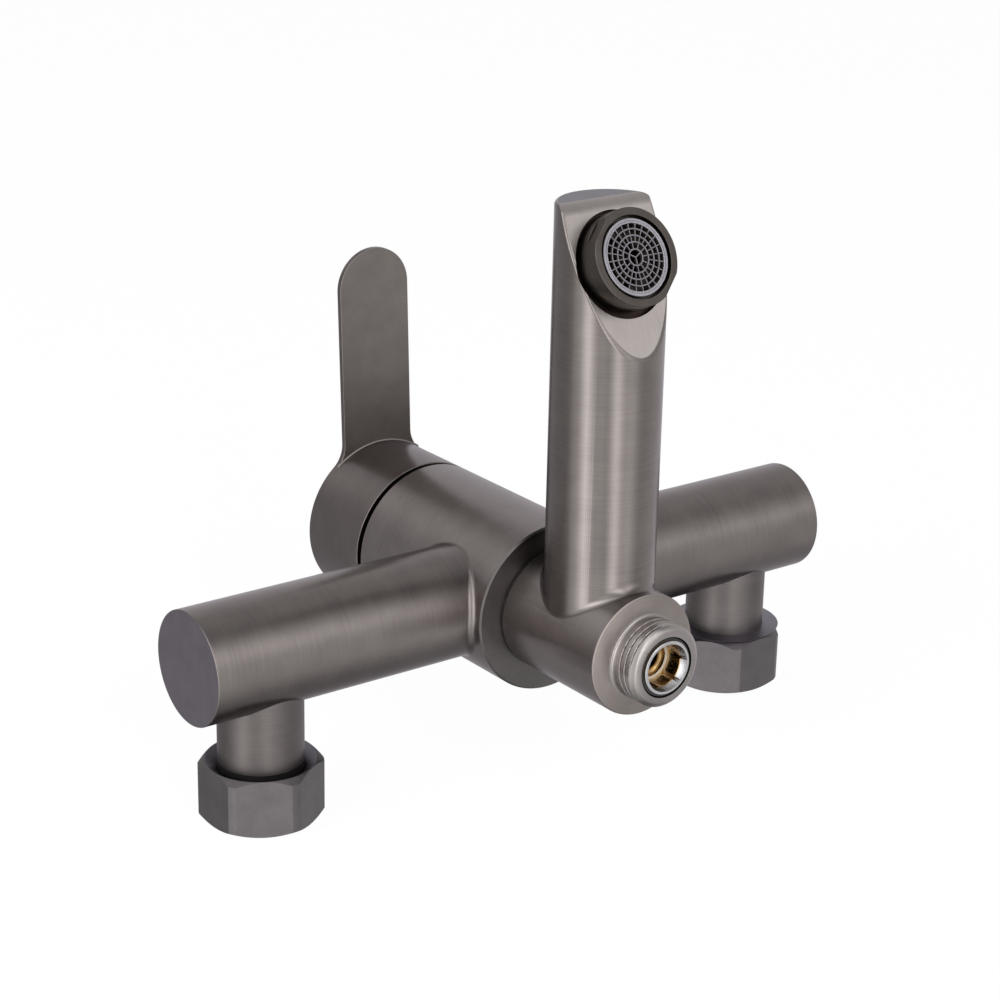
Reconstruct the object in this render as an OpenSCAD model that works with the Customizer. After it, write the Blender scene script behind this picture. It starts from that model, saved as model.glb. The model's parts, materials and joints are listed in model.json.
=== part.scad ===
// Wall-mounted bath mixer with a swivel spout, a single lever and a shower outlet.
// Millimetres, as installed: X runs along the two arms, +Z is up towards the lever,
// and the spout points along -Y. The plane Y = 0 holds the wall faces of both union
// nuts, and the origin lies midway between the two inlets.

/* [Overall] */
// Distance between the axes of the hot and the cold inlet
inlet_pitch = 150; // [135:1:165]
// Distance from the wall faces of the nuts to the axis of the body and the arms
axis_out = 43.65; // [42:0.05:60]

/* [Body] */
// Diameter of the upright body
body_d = 44.1; // [43.8:0.1:48]
// Height of the rim of the body above the arm axis
body_rise = 35.95; // [35.7:0.05:36.4]
// Depth of the lower face of the body below the arm axis
body_drop = 17.6; // [17:0.1:22]
// Chamfer on the lower edge of the body
body_edge = 0.4; // [0.1:0.1:1]
// Diameter of the arms
arm_d = 28.8; // [26:0.1:32]
// Length of arm past the axis of each inlet
arm_end = 19.8; // [16:0.1:30]
// Diameter of the inlet stubs under the arms
stub_d = 21.4; // [20.6:0.1:21.6]
// Wall between the waterway and the end face of an arm
arm_end_wall = 4; // [2:0.5:8]
// Diameter of the waterway along each arm
arm_bore_d = 13; // [10:0.5:14]
// Distance from the body axis to the inner end of each waterway
arm_bore_stop = 5; // [4:0.5:8]
// Diameter of the waterway in each stub
stub_bore_d = 12.6; // [10:0.2:13]

/* [Inlet unions] */
// Width across the flats of the union nuts
nut_flats = 28; // [27.6:0.1:32]
// Diameter to which the corners of the nuts are turned
nut_corner_d = 31; // [29.5:0.1:34]
// Height of the nuts
nut_h = 15.2; // [15:0.1:18]
// Height of the turned chamfer at both ends of the nuts
nut_chamfer = 1.2; // [0.5:0.1:1.8]
// Angle to which the hot nut is turned at rest
hot_nut_angle = 31.6; // [0:0.1:60]
// Angle to which the cold nut is turned at rest
cold_nut_angle = 4; // [0:0.1:60]
// Bore of the 3/4 inch pipe thread in the nuts
inlet_thread_d = 24.12; // [24.1:0.01:24.3]
// Length of the threaded bore in the nuts
inlet_thread_len = 8; // [7:0.5:9]
// Diameter of the relief behind the thread
nut_relief_d = 26.4; // [25:0.1:27]
// Depth of the relief groove, which holds the washer and the flange
nut_relief_len = 4; // [3.8:0.1:4.4]
// Thickness of the inward lip of the nuts
nut_lip = 1.8; // [1.2:0.1:2]
// Running gap round a stub in the lip of its nut
nut_lip_gap = 0.3; // [0.1:0.05:0.5]
// Diameter of the open counterbore at the outer end of the nuts
nut_mouth_d = 25.2; // [24:0.1:26]
// Diameter of the flange that holds a nut on its stub
flange_d = 24; // [23:0.1:24]
// Thickness of that flange
flange_t = 1.7; // [1.4:0.1:1.8]
// Gap between the flange and the lip of the nut
flange_gap = 0.1; // [0.05:0.05:0.3]
// Diameter of the threaded spigot behind the flange
spigot_d = 16.6; // [16:0.1:17]
// Length of that spigot
spigot_len = 9.5; // [8:0.5:10]
// Key width of the hexagon through the inlet nipple
nipple_key = 11; // [9:0.5:12]
// Thickness of the inlet washers
washer_t = 2; // [1.5:0.1:2.2]
// Bore of the inlet washers
washer_bore_d = 15; // [14:0.5:17]

/* [Cartridge] */
// Height of the seat of the cartridge above the arm axis
seat_z = 10.5; // [9.5:0.1:10.6]
// Outer diameter of the cartridge
cartridge_d = 35; // [34:0.1:35.2]
// Radial gap between the cartridge and the body
cartridge_gap = 0.1; // [0.05:0.05:0.3]
// Height from the seat to the shoulder of the cartridge
shoulder_h = 19.5; // [19.4:0.1:20]
// Height of the neck above the shoulder
neck_h = 9.5; // [9.2:0.1:9.8]
// Outer diameter of the neck
neck_d = 26.8; // [26:0.1:28]
// Wall of the cartridge housing
housing_wall = 2; // [1.6:0.1:2.2]
// Thickness of the roof under the neck
housing_roof = 1.5; // [1.2:0.1:1.8]
// Height of the foot of the cartridge base
foot_h = 2; // [1.5:0.1:2.2]
// Height of the raised part of the base inside the housing
base_h = 2; // [1.6:0.1:2.2]
// Diameter of the ports in the base and the fixed disc
port_d = 5.2; // [4:0.1:5.4]
// Sideways distance of the inlet ports from the axis
port_x = 6.2; // [5.8:0.1:6.8]
// Distance of the inlet ports from the axis, away from the wall
port_y = 5; // [4.8:0.1:5.4]
// Distance of the outlet port from the axis, towards the wall
out_port_y = 8.5; // [8.2:0.1:8.8]
// Distance of the lower outlet duct from the axis
duct_y = 10.2; // [10:0.1:10.4]
// Thread of the rubber rings round the ports
seal_cord = 1; // [0.6:0.1:1.2]
// Diameter of the fixed ceramic disc
fixed_disc_d = 28; // [27:0.1:30]
// Thickness of the fixed ceramic disc
fixed_disc_t = 3.5; // [3:0.1:3.8]
// Diameter of the moving ceramic disc
moving_disc_d = 24; // [23:0.1:24.4]
// Thickness of the moving ceramic disc
moving_disc_t = 3; // [2.6:0.1:3]
// Film gap between the two ceramic discs
disc_film = 0.02; // [0.01:0.01:0.05]
// Depth of the mixing chamber under the moving disc
mix_depth = 1.6; // [1:0.1:2]
// Diameter of the disc carrier
carrier_d = 24.8; // [24.4:0.1:25]
// Thickness of the disc carrier
carrier_t = 2.2; // [2:0.1:2.4]
// Width of the rail on the carrier
rail_w = 14; // [12:0.1:15]
// Length of the rail on the carrier
rail_len = 13; // [10:0.5:14]
// Height of the rail on the carrier
rail_h = 2.4; // [2:0.1:2.6]
// Gap at the sides of the rail and over the carrier
rail_gap = 0.1; // [0.05:0.01:0.1]
// Diameter of the rotor in the neck
rotor_d = 22.8; // [22:0.1:23]
// Running gap round the rotor
rotor_gap = 0.1; // [0.05:0.01:0.1]
// Distance of the top of the rotor below the top of the neck
rotor_in = 1; // [0.5:0.1:1.2]
// Height of the pivot pin above the arm axis
pivot_z = 32.3; // [32:0.05:32.6]
// Diameter of the pivot pin
pin_d = 3; // [2.5:0.1:3.4]
// Length of the pivot pin
pin_len = 20; // [16:0.5:21]
// Running gap round the pivot pin in the stem
pin_gap = 0.04; // [0.02:0.01:0.1]
// Distance from the pivot pin down to the ball of the stem
ball_drop = 8.7; // [8.5:0.1:8.9]
// Diameter of the ball of the stem
ball_d = 4.4; // [4:0.1:4.6]
// Gap round the ball in the carrier
ball_gap = 0.3; // [0.2:0.05:0.5]
// Diameter of the tail above the ball
tail_d = 3.2; // [2.6:0.1:3.6]
// Width of the square stem
stem_w = 8; // [7:0.1:8.2]
// Diameter of the hub round the pivot pin
hub_d = 8.8; // [8.2:0.1:9]
// Gap at the sides of the stem in its slot
stem_gap = 0.2; // [0.1:0.05:0.4]
// Height of the top of the stem above the arm axis
stem_top = 56; // [53:0.5:56.5]

/* [Cartridge nut and cover ring] */
// Diameter of the thread of the retaining nut
ret_thread_d = 38.8; // [38:0.1:39.2]
// Gap round that thread in the body
ret_gap = 0.1; // [0.05:0.05:0.2]
// Radial gap between the cover ring and the skirt of the cap
ring_room = 1.2; // [1.1:0.05:1.6]
// Height of the hexagon of the retaining nut
ret_hex_h = 3.4; // [3:0.1:3.6]
// Wall of the cover ring
ring_wall = 0.4; // [0.3:0.05:0.5]
// Thickness of the flange of the cover ring, seen as the dark line
ring_flange_t = 0.35; // [0.25:0.05:0.4]
// Distance of the edge of that flange inside the wall of the body
ring_flange_in = 0.85; // [0.5:0.05:1.5]
// Height of the cover ring
ring_h = 3.4; // [2:0.1:3.5]

/* [Lever] */
// Gap between the rim of the body and the cap of the lever
cap_gap = 1.7; // [1.2:0.05:2.2]
// Height of the cap of the lever
cap_h = 23.25; // [22.5:0.05:28]
// Wall of the skirt of the cap
cap_wall = 1.85; // [1.5:0.05:2]
// Thickness of the roof of the cap
cap_roof = 3.5; // [2.5:0.1:4]
// Distance from the body axis to the tip of the blade
blade_reach = 76.5; // [60:0.5:110]
// Width of the blade
blade_w = 21.4; // [16:0.1:26]
// Thickness of the blade
blade_t = 1.6; // [1.2:0.1:3.4]
// Radius of the flares where the blade joins the cap
flare_r = 8; // [3:0.5:12]
// Depth by which the flares run into the cap
flare_bite = 0.05; // [0.02:0.01:0.2]
// Angle by which the lever is turned from straight ahead at rest
lever_rest_turn = -1.9; // [-20:0.1:20]
// Largest lift of the lever
lift_max = 25; // [15:1:27]
// Gap left under the lifted cap
lift_gap = 0.25; // [0.15:0.05:0.4]
// Diameter of the socket boss under the roof of the cap
boss_d = 15; // [14:0.5:17]
// Height of the lower end of the boss above the arm axis
boss_z = 45.5; // [45:0.5:48]
// Gap round the stem in its socket
socket_gap = 0.08; // [0.04:0.01:0.15]
// Height of the axis of the clamping screw above the arm axis
screw_z = 52; // [51.5:0.1:53]
// Diameter of the clamping screw
screw_d = 6; // [4:0.5:6]
// Length of the clamping screw
screw_len = 9; // [6:0.5:12]
// Key width of the clamping screw
screw_key = 3; // [2:0.5:3]
// Width of the rib that holds the clamping screw
screw_rib_w = 10; // [9:0.5:12]
// Height of the rib under the clamping screw
screw_rib_under = 1; // [0.5:0.1:1.4]
// Thickness of the plug over the clamping screw
plug_t = 2.5; // [1.5:0.1:4]

/* [Spout] */
// Distance from the body axis to the flat end of the spout
spout_reach = 108.35; // [95:0.05:200]
// Diameter of the spout tube
spout_d = 27.2; // [26.8:0.1:28]
// Depth of the axis of the spout below the arm axis
spout_axis_z = 36.5; // [36:0.1:37]
// Diameter of the swivel sleeve
sleeve_d = 31; // [30:0.1:34]
// Depth of the lower face of the sleeve below the arm axis
sleeve_end_z = 54; // [53.5:0.1:58]
// Chamfer on the lower edge of the sleeve
sleeve_edge = 0.4; // [0.1:0.1:1]
// Angle of the aerator facet to the spout
facet_angle = 24.65; // [15:0.05:26]
// Distance from the body axis to the inner end of the facet
facet_start = 73.35; // [70:0.05:75]
// Wall between the wide channel and the inner end of the facet
channel_stop = 3; // [2:0.5:6]
// Diameter of the wide channel in the spout
channel_d = 21.2; // [16:0.1:21.4]
// Diameter of the narrow channel above the aerator
feed_d = 12; // [8:0.1:13]
// Height of the axis of the narrow channel above the axis of the spout
feed_rise = 5.5; // [5:0.1:5.8]
// Length of the narrow channel past the axis of the aerator
feed_past = 3; // [0:0.5:5]
// Diameter of the chamber round the spindle
chamber_d = 24.4; // [23:0.1:25]
// Outer diameter of the wall that parts bath water from shower water
parting_d = 17.2; // [16.4:0.1:17.6]
// Depth of the lower end of the chamber below the arm axis
chamber_end_z = 46; // [45.5:0.1:47]

/* [Shower outlet] */
// Diameter of the 1/2 inch pipe thread of the shower outlet
outlet_thread_d = 20.9; // [20.7:0.01:20.95]
// Length of the outlet below the sleeve
outlet_len = 9; // [8.5:0.1:14]
// Length of the smooth relief above the thread
relief_len = 2.2; // [1.5:0.1:3]
// Diameter of that relief
relief_d = 18.6; // [18:0.1:19]
// Height of the chamfer at the mouth of the outlet
outlet_chamfer = 1.5; // [0.5:0.1:2]
// Diameter of the flat face at the mouth of the outlet
outlet_face_d = 17.8; // [17:0.1:18.4]
// Bore of the outlet
outlet_bore_d = 14.8; // [14.4:0.1:15.2]
// Height of the step that the spindle holds, from the chamber down
step_h = 4; // [3:0.1:5]

/* [Spindle and diverter] */
// Diameter of the head of the spindle
head_d = 13.6; // [13:0.1:13.8]
// Distance by which the head stands out of the mouth of the outlet
head_proud = 0.4; // [0:0.1:1]
// Diameter of the shank of the spindle
shank_d = 12.2; // [12:0.1:12.6]
// Running gap round the shank
shank_gap = 0.1; // [0.05:0.01:0.1]
// End play under the step of the spout
spindle_play = 0.1; // [0.05:0.05:0.3]
// Length of spindle thread in the body
spindle_thread_len = 9.2; // [7:0.1:9.4]
// Room left above the end of that thread
spindle_end_gap = 1; // [0.5:0.1:2]
// Gap round that thread in the body
spindle_thread_gap = 0.05; // [0.02:0.01:0.1]
// Key width of the hexagon in the head
head_key = 10; // [8:0.5:10]
// Depth of the hexagon in the head
head_key_depth = 6.4; // [4:0.1:10]
// Bore of the spindle
spindle_bore_d = 7.2; // [5:0.1:8]
// Depth of the closed end of the bore below the arm axis
spindle_bore_top = 30; // [26:0.5:32]
// Depth of the cross ports of the spindle below the arm axis
cross_port_z = 34; // [33:0.5:40]
// Diameter of the cross ports
cross_port_d = 3.6; // [2:0.1:4]
// Height of the lip seal in the mouth of the outlet
mouth_seal_h = 2; // [1:0.1:3]
// Distance of that seal behind the mouth
mouth_seal_in = 0.3; // [0.1:0.1:1]
// Running gap outside the seals
seal_gap = 0.04; // [0.02:0.01:0.08]
// Height of the ring seal of the shank
shank_seal_h = 1.2; // [0.8:0.1:1.6]
// Outer diameter of the ring seal of the shank
shank_seal_d = 15.2; // [14.6:0.1:15.6]
// Diameter of the diverter disc
diverter_d = 26; // [25:0.1:26.4]
// Thickness of the diverter disc
diverter_t = 3.25; // [3:0.05:3.4]
// Half the angle of the bath opening in the diverter disc
bath_half_angle = 40; // [30:1:44]
// Half the angle of the shower openings in the diverter disc
shower_half_angle = 25; // [15:1:30]
// Thickness of the slip ring under the body
slip_t = 0.4; // [0.2:0.05:0.8]
// Running gap between the slip ring and the sleeve
slip_gap = 0.05; // [0.02:0.01:0.1]
// Distance by which the slip ring lies inside the sleeve
slip_in = 0.2; // [0:0.1:0.5]

/* [Aerator] */
// Distance along the facet from its inner end to the axis of the aerator
aerator_along = 23.45; // [22.5:0.05:25]
// Diameter of the aerator housing
aerator_d = 23.6; // [23.3:0.1:24]
// Height of the face of the aerator over the facet
aerator_proud = 6.25; // [5.5:0.05:8]
// Width across the two wrench flats
aerator_flats = 22.6; // [22.4:0.1:23.2]
// Length of the wrench flats
aerator_flat_len = 3.4; // [2:0.1:4]
// Angle of the wrench flats about the aerator axis
aerator_flat_angle = 136; // [0:1:180]
// Opening in the face of the aerator housing
aerator_mouth_d = 19.9; // [19.6:0.1:20.2]
// Diameter of the round recess in the facet
recess_d = 25; // [24.6:0.1:25.2]
// Depth of the recess
recess_depth = 1; // [0.5:0.1:1.4]
// Diameter of the threaded nozzle in the recess
nozzle_d = 21.8; // [21.4:0.1:22]
// Height of the nozzle over the facet
nozzle_h = 2.5; // [2:0.1:2.8]
// Bore of the nozzle
nozzle_bore_d = 18.6; // [18:0.1:19]
// Depth of the nozzle bore under the facet
nozzle_bore_depth = 8; // [6:0.1:8.4]
// Radial gap of the thread between nozzle and housing
nozzle_gap = 0.05; // [0.02:0.01:0.1]
// Gap under the aerator housing in the recess
housing_gap = 0.4; // [0.2:0.1:0.6]
// Thickness of the flat seal behind the insert
flat_seal_t = 0.8; // [0.5:0.1:1]
// Thickness of the flange of the insert
insert_flange_t = 0.55; // [0.4:0.05:0.7]
// Diameter of the front ring of the insert
insert_d = 18.4; // [18:0.1:18.6]
// Distance of the insert behind the face of the housing
insert_in = 0.3; // [0:0.1:0.8]
// Thickness of the grid of the insert
grid_t = 1; // [0.6:0.1:1.6]
// Width of the ribs and rings of the grid
grid_rib = 0.3; // [0.2:0.05:0.5]
// Number of ribs across the inner ring of openings, with twice as many further out
grid_ribs = 12; // [6:1:16]
// Number of spokes in the hub of the grid
hub_spokes = 3; // [2:1:4]
// Number of rings of openings in the grid
grid_rings = 4; // [2:1:5]
// Width of the plain rim of the grid
grid_rim = 1.35; // [0.8:0.05:1.8]
// Diameter of the hub ring of the grid
grid_hub_d = 4; // [3:0.1:4.4]
// Length of the insert behind its flange
insert_back = 4; // [3:0.1:5]
// Diameter of the opening in the back of the insert
insert_hole_d = 12; // [6:0.5:14]

/* [Hidden] */
$fn = 96;
eps = 0.01;
// How far a cut runs past the face that it opens
through = 1;
far = 400;

gunmetal = "#6b6664";
satin_steel = "#8e8a88";
brass = "#b08d57";
ceramic_grey = "#e6e4de";
black_rubber = "#1c1c1c";
grey_plastic = "#85838a";
white_plastic = "#dcdcd8";

// Levels of the inlet unions, measured from the wall
thread_end = inlet_thread_len;
lip_start = thread_end + nut_relief_len;
lip_end = lip_start + nut_lip;
flange_back = lip_start - flange_gap;
flange_face = flange_back - flange_t;

// Levels of the cartridge
shoulder_z = seat_z + shoulder_h;
neck_top = shoulder_z + neck_h;
foot_top = seat_z + foot_h;
base_top = foot_top + base_h;
fixed_top = base_top + fixed_disc_t;
moving_z = fixed_top + disc_film;
moving_top = moving_z + moving_disc_t;
carrier_top = moving_top + carrier_t;
rail_top = carrier_top + rail_h;
chamber_id = cartridge_d - 2 * housing_wall;
rotor_z = carrier_top + rail_gap;
rotor_flange_top = shoulder_z - housing_roof - rotor_gap;
rotor_top = neck_top - rotor_in;
ball_z = pivot_z - ball_drop;
disc_travel = ball_drop * sin(lift_max);
ret_z = shoulder_z;
ret_hex_z = body_rise;
duct_turn_z = -2;

// Levels of the lever
cap_z = body_rise + cap_gap;
cap_top = cap_z + cap_h;
cap_id = body_d - 2 * cap_wall;
ring_flange_d = body_d - 2 * ring_flange_in;
ring_od = cap_id - 2 * ring_room;
ring_id = ring_od - 2 * ring_wall;
ret_flats = (ring_id - 2 * ret_gap) * cos(30);
cavity_top = cap_top - cap_roof;
blade_z = cap_top - blade_t;
flare_x = blade_w / 2 + flare_r;
flare_y = sqrt(pow(body_d / 2 + flare_r - flare_bite, 2) - pow(flare_x, 2));

// Levels of the spout, its outlet and the spindle
sleeve_top = -body_drop - slip_t - slip_gap;
diverter_top = -body_drop - slip_gap;
diverter_z = diverter_top - diverter_t;
step_bottom = -chamber_end_z - step_h;
mouth_z = -sleeve_end_z - outlet_len;
head_top = step_bottom - spindle_play;
head_z = mouth_z - head_proud;
channel_end = facet_start - channel_stop;
facet_z = -spout_axis_z - spout_d / 2;
shank_bore_d = shank_d + 2 * shank_gap;

// Levels of the aerator, measured along its axis from the facet
housing_z = housing_gap - recess_depth;
flat_seal_top = nozzle_h + flat_seal_t;
insert_flange_top = flat_seal_top + insert_flange_t;
insert_top = aerator_proud - insert_in;
lip_z = insert_flange_top;

module at_axis() {
    translate([0, -axis_out, 0]) children();
}

module at_lever() {
    at_axis() rotate([0, 0, lever_rest_turn]) children();
}

// Frame of the aerator: origin on the facet, +Z along the outgoing water
module at_facet(along) {
    at_axis()
        translate([0, -facet_start, facet_z])
            rotate([180 - facet_angle, 0, 0])
                translate([0, along, 0]) children();
}

module at_inlet(side) {
    translate([side * inlet_pitch / 2, 0, 0]) rotate([90, 0, 0]) children();
}

module rod(z0, z1, d) {
    translate([0, 0, z0]) cylinder(h = z1 - z0, d = d);
}

module ring(z0, z1, d_out, d_in) {
    difference() {
        rod(z0, z1, d_out);
        rod(z0 - eps, z1 + eps, d_in);
    }
}

module hexagon(z0, z1, flats) {
    translate([0, 0, z0]) cylinder(h = z1 - z0, d = flats / cos(30), $fn = 6);
}

module sector(z0, z1, r_in, r_out, half_angle) {
    reach = 2 * r_out;
    translate([0, 0, z0])
        linear_extrude(z1 - z0)
            difference() {
                intersection() {
                    circle(r_out);
                    polygon([
                        [0, 0],
                        [reach * sin(half_angle), reach * cos(half_angle)],
                        [-reach * sin(half_angle), reach * cos(half_angle)]
                    ]);
                }
                circle(r_in);
            }
}

module inlet_port_places() {
    for (side = [-1, 1])
        translate([side * port_x, -port_y, 0]) children();
}

module outlet_port_place() {
    translate([0, out_port_y, 0]) children();
}

// One casting: upright body, two arms and two inlet stubs, bored for the water
module body() {
    color(gunmetal)
    difference() {
        body_outside();
        at_axis() body_bores();
        for (side = [-1, 1]) inlet_waterway(side);
    }
}

module body_outside() {
    at_axis() {
        rod(-body_drop + body_edge, body_rise, body_d);
        translate([0, 0, -body_drop])
            cylinder(h = body_edge, d1 = body_d - 2 * body_edge, d2 = body_d);
        rotate([0, 90, 0])
            cylinder(h = inlet_pitch + 2 * arm_end, d = arm_d, center = true);
    }
    for (side = [-1, 1])
        at_inlet(side) rod(flange_back, axis_out, stub_d);
}

module body_bores() {
    rod(seat_z, shoulder_z + eps, cartridge_d + 2 * cartridge_gap);
    rod(shoulder_z, body_rise + through, ret_thread_d + 2 * ret_gap);
    inlet_port_places() rod(0, seat_z + eps, port_d);
    outlet_port_place() rod(duct_turn_z, seat_z + eps, port_d);
    translate([0, duct_y, 0]) rod(-body_drop - through, duct_turn_z + port_d / 2, port_d);
    rod(-body_drop - through, -body_drop + spindle_thread_len, shank_d + 2 * spindle_thread_gap);
}

module inlet_waterway(side) {
    arm_len = inlet_pitch / 2 + arm_end - arm_end_wall - arm_bore_stop;
    at_axis()
        rotate([0, side * 90, 0])
            rod(arm_bore_stop, arm_bore_stop + arm_len, arm_bore_d);
    at_inlet(side) {
        rod(flange_back - through, axis_out, stub_bore_d);
        rod(flange_back - through, flange_back + spigot_len, spigot_d);
    }
}

// Flanged nipple screwed into a stub, which keeps the union nut on it
module inlet_nipple(side) {
    color(brass)
    at_inlet(side)
        difference() {
            union() {
                rod(flange_face, flange_back, flange_d);
                rod(flange_back - eps, flange_back + spigot_len, spigot_d);
            }
            hexagon(flange_face - through, flange_back + spigot_len + through, nipple_key);
        }
}

module union_nut(side, angle) {
    color(gunmetal)
    at_inlet(side)
        difference() {
            intersection() {
                rotate([0, 0, angle]) hexagon(0, nut_h, nut_flats);
                turned_corners();
            }
            rod(-1, thread_end + eps, inlet_thread_d);
            rod(thread_end, lip_start, nut_relief_d);
            rod(lip_start - eps, lip_end + eps, stub_d + 2 * nut_lip_gap);
            rod(lip_end, nut_h + through, nut_mouth_d);
        }
}

module turned_corners() {
    face_d = nut_corner_d - 2 * nut_chamfer / tan(30);
    cylinder(h = nut_chamfer, d1 = face_d, d2 = nut_corner_d);
    rod(nut_chamfer, nut_h - nut_chamfer, nut_corner_d);
    translate([0, 0, nut_h - nut_chamfer])
        cylinder(h = nut_chamfer, d1 = nut_corner_d, d2 = face_d);
}

module inlet_washer(side) {
    color(black_rubber)
    at_inlet(side) ring(flange_face - washer_t, flange_face, flange_d, washer_bore_d);
}

module cartridge_base() {
    color(white_plastic)
    at_axis()
        difference() {
            union() {
                rod(seat_z, foot_top, cartridge_d);
                rod(foot_top - eps, base_top, chamber_id);
            }
            inlet_port_places() base_port();
            outlet_port_place() base_port();
        }
}

module base_port() {
    rod(seat_z - through, base_top + through, port_d);
    rod(seat_z - through, seat_z + seal_cord, port_d + 2 * seal_cord);
}

module port_seals() {
    color(black_rubber)
    at_axis() {
        inlet_port_places() ring(seat_z, seat_z + seal_cord, port_d + 2 * seal_cord, port_d);
        outlet_port_place() ring(seat_z, seat_z + seal_cord, port_d + 2 * seal_cord, port_d);
    }
}

module cartridge_housing() {
    color(white_plastic)
    at_axis()
        difference() {
            union() {
                rod(foot_top, shoulder_z, cartridge_d);
                rod(shoulder_z - eps, neck_top, neck_d);
            }
            rod(foot_top - through, shoulder_z - housing_roof, chamber_id);
            rod(foot_top, neck_top + through, rotor_d + 2 * rotor_gap);
        }
}

module fixed_disc() {
    color(ceramic_grey)
    at_axis()
        difference() {
            rod(base_top, fixed_top, fixed_disc_d);
            inlet_port_places() rod(base_top - through, fixed_top + through, port_d);
            outlet_port_place() rod(base_top - through, fixed_top + through, port_d);
        }
}

// The carrier and its disc sit half a travel towards the wall when the water is off
module moving_disc() {
    lobe_y = port_d + seal_cord - port_y;
    mix_d = moving_disc_d - 2 * port_y;
    color(ceramic_grey)
    at_lever()
        difference() {
            translate([0, disc_travel / 2, 0]) rod(moving_z, moving_top, moving_disc_d);
            translate([0, mix_d / 2 - port_d / 4, 0])
                rod(moving_z - through, moving_z + mix_depth, mix_d);
            for (side = [-1, 1])
                translate([side * port_x, lobe_y, 0])
                    rod(moving_z - through, moving_z + mix_depth, port_d);
        }
}

module disc_carrier() {
    color(grey_plastic)
    at_lever()
        difference() {
            union() {
                translate([0, disc_travel / 2, 0]) rod(moving_top, carrier_top, carrier_d);
                translate([-rail_w / 2, (disc_travel - rail_len) / 2, carrier_top - eps])
                    cube([rail_w, rail_len, rail_h + eps]);
            }
            rod(moving_top - through, rail_top + through, ball_d + 2 * ball_gap);
        }
}

module rotor() {
    slot_w = stem_w + 2 * stem_gap;
    slot_front = hub_d / 2 + stem_gap;
    slot_back = stem_w / 2 + (rotor_top - pivot_z) * tan(lift_max) + stem_w / 8;
    rail_slot = rail_w + 2 * rail_gap;
    tail_slot = ball_drop * tan(lift_max) + tail_d / 2 + stem_gap;
    flange_rotor_d = chamber_id - 6 * rotor_gap;
    color("#3c3a3a")
    at_lever()
        difference() {
            union() {
                rod(rotor_z, rotor_flange_top, flange_rotor_d);
                rod(rotor_flange_top - eps, rotor_top, rotor_d);
            }
            translate([-rail_slot / 2, -far / 2, rotor_z - through])
                cube([rail_slot, far, rail_top + rail_gap - rotor_z + through]);
            translate([-slot_w / 2, -tail_slot, rotor_z - through])
                cube([slot_w, 2 * tail_slot, pivot_z - rotor_z + through]);
            translate([-slot_w / 2, -slot_front, pivot_z - eps])
                cube([slot_w, slot_front + slot_back, rotor_top - pivot_z + through]);
            translate([0, 0, pivot_z])
                rotate([0, 90, 0])
                    cylinder(h = pin_len, d = pin_d, center = true);
        }
}

module pivot_pin() {
    color(satin_steel)
    at_lever()
        translate([0, 0, pivot_z])
            rotate([0, 90, 0])
                cylinder(h = pin_len, d = pin_d, center = true);
}

module lever_stem() {
    color(brass)
    at_lever()
        difference() {
            union() {
                translate([-stem_w / 2, -stem_w / 2, pivot_z])
                    cube([stem_w, stem_w, stem_top - pivot_z]);
                translate([0, 0, pivot_z])
                    rotate([0, 90, 0])
                        cylinder(h = stem_w, d = hub_d, center = true);
                rod(ball_z, pivot_z, tail_d);
                translate([0, 0, ball_z]) sphere(d = ball_d);
            }
            translate([0, 0, pivot_z])
                rotate([0, 90, 0])
                    cylinder(h = far, d = pin_d + 2 * pin_gap, center = true);
        }
}

module retaining_nut() {
    color(satin_steel)
    at_axis()
        difference() {
            union() {
                rod(ret_z, ret_hex_z, ret_thread_d);
                hexagon(ret_hex_z - eps, ret_hex_z + ret_hex_h, ret_flats);
            }
            rod(ret_z - through, ret_hex_z + ret_hex_h + through, neck_d + 2 * ret_gap);
        }
}

// Dark ring seen in the gap between the body and the cap of the lever
module cover_ring() {
    color(black_rubber)
    at_axis() {
        ring(body_rise, body_rise + ring_flange_t, ring_flange_d, ring_id);
        ring(body_rise, body_rise + ring_h, ring_od, ring_id);
    }
}

module lever_handle() {
    color(gunmetal)
    at_lever()
        difference() {
            union() {
                difference() {
                    rod(cap_z, cap_top, body_d);
                    rod(cap_z - through, cavity_top, cap_id);
                }
                rod(boss_z, cavity_top + eps, boss_d);
                screw_rib();
                translate([0, 0, blade_z]) linear_extrude(blade_t) blade_outline();
            }
            stem_socket();
            screw_hole();
            lift_relief();
        }
}

module blade_outline() {
    difference() {
        union() {
            translate([-flare_x, -flare_y]) square([2 * flare_x, flare_y]);
            translate([0, -blade_reach + blade_w / 2]) circle(d = blade_w);
            translate([-blade_w / 2, -blade_reach + blade_w / 2])
                square([blade_w, blade_reach - blade_w / 2]);
        }
        for (side = [-1, 1]) {
            translate([side * flare_x, -flare_y]) circle(flare_r);
            translate([side * flare_x, 0]) flare_waste(side);
        }
    }
}

// What lies outside the line from the body axis to the centre of a flare
module flare_waste(side) {
    polygon([
        [0, -flare_y],
        [-side * flare_x, 0],
        [-side * flare_x, flare_y],
        [side * flare_x, flare_y],
        [side * flare_x, -2 * flare_y],
        [0, -2 * flare_y]
    ]);
}

module screw_rib() {
    rib_z = screw_z - screw_d / 2 - screw_rib_under;
    intersection() {
        translate([-screw_rib_w / 2, 0, rib_z])
            cube([screw_rib_w, body_d / 2, cavity_top + eps - rib_z]);
        rod(boss_z, cap_top, cap_id + cap_wall);
    }
}

module stem_socket() {
    socket_w = stem_w + 2 * socket_gap;
    translate([-socket_w / 2, -socket_w / 2, boss_z - through])
        cube([socket_w, socket_w, stem_top + socket_gap - boss_z + through]);
}

module screw_hole() {
    translate([0, 0, screw_z])
        rotate([-90, 0, 0])
            cylinder(h = body_d, d = screw_d);
}

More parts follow.
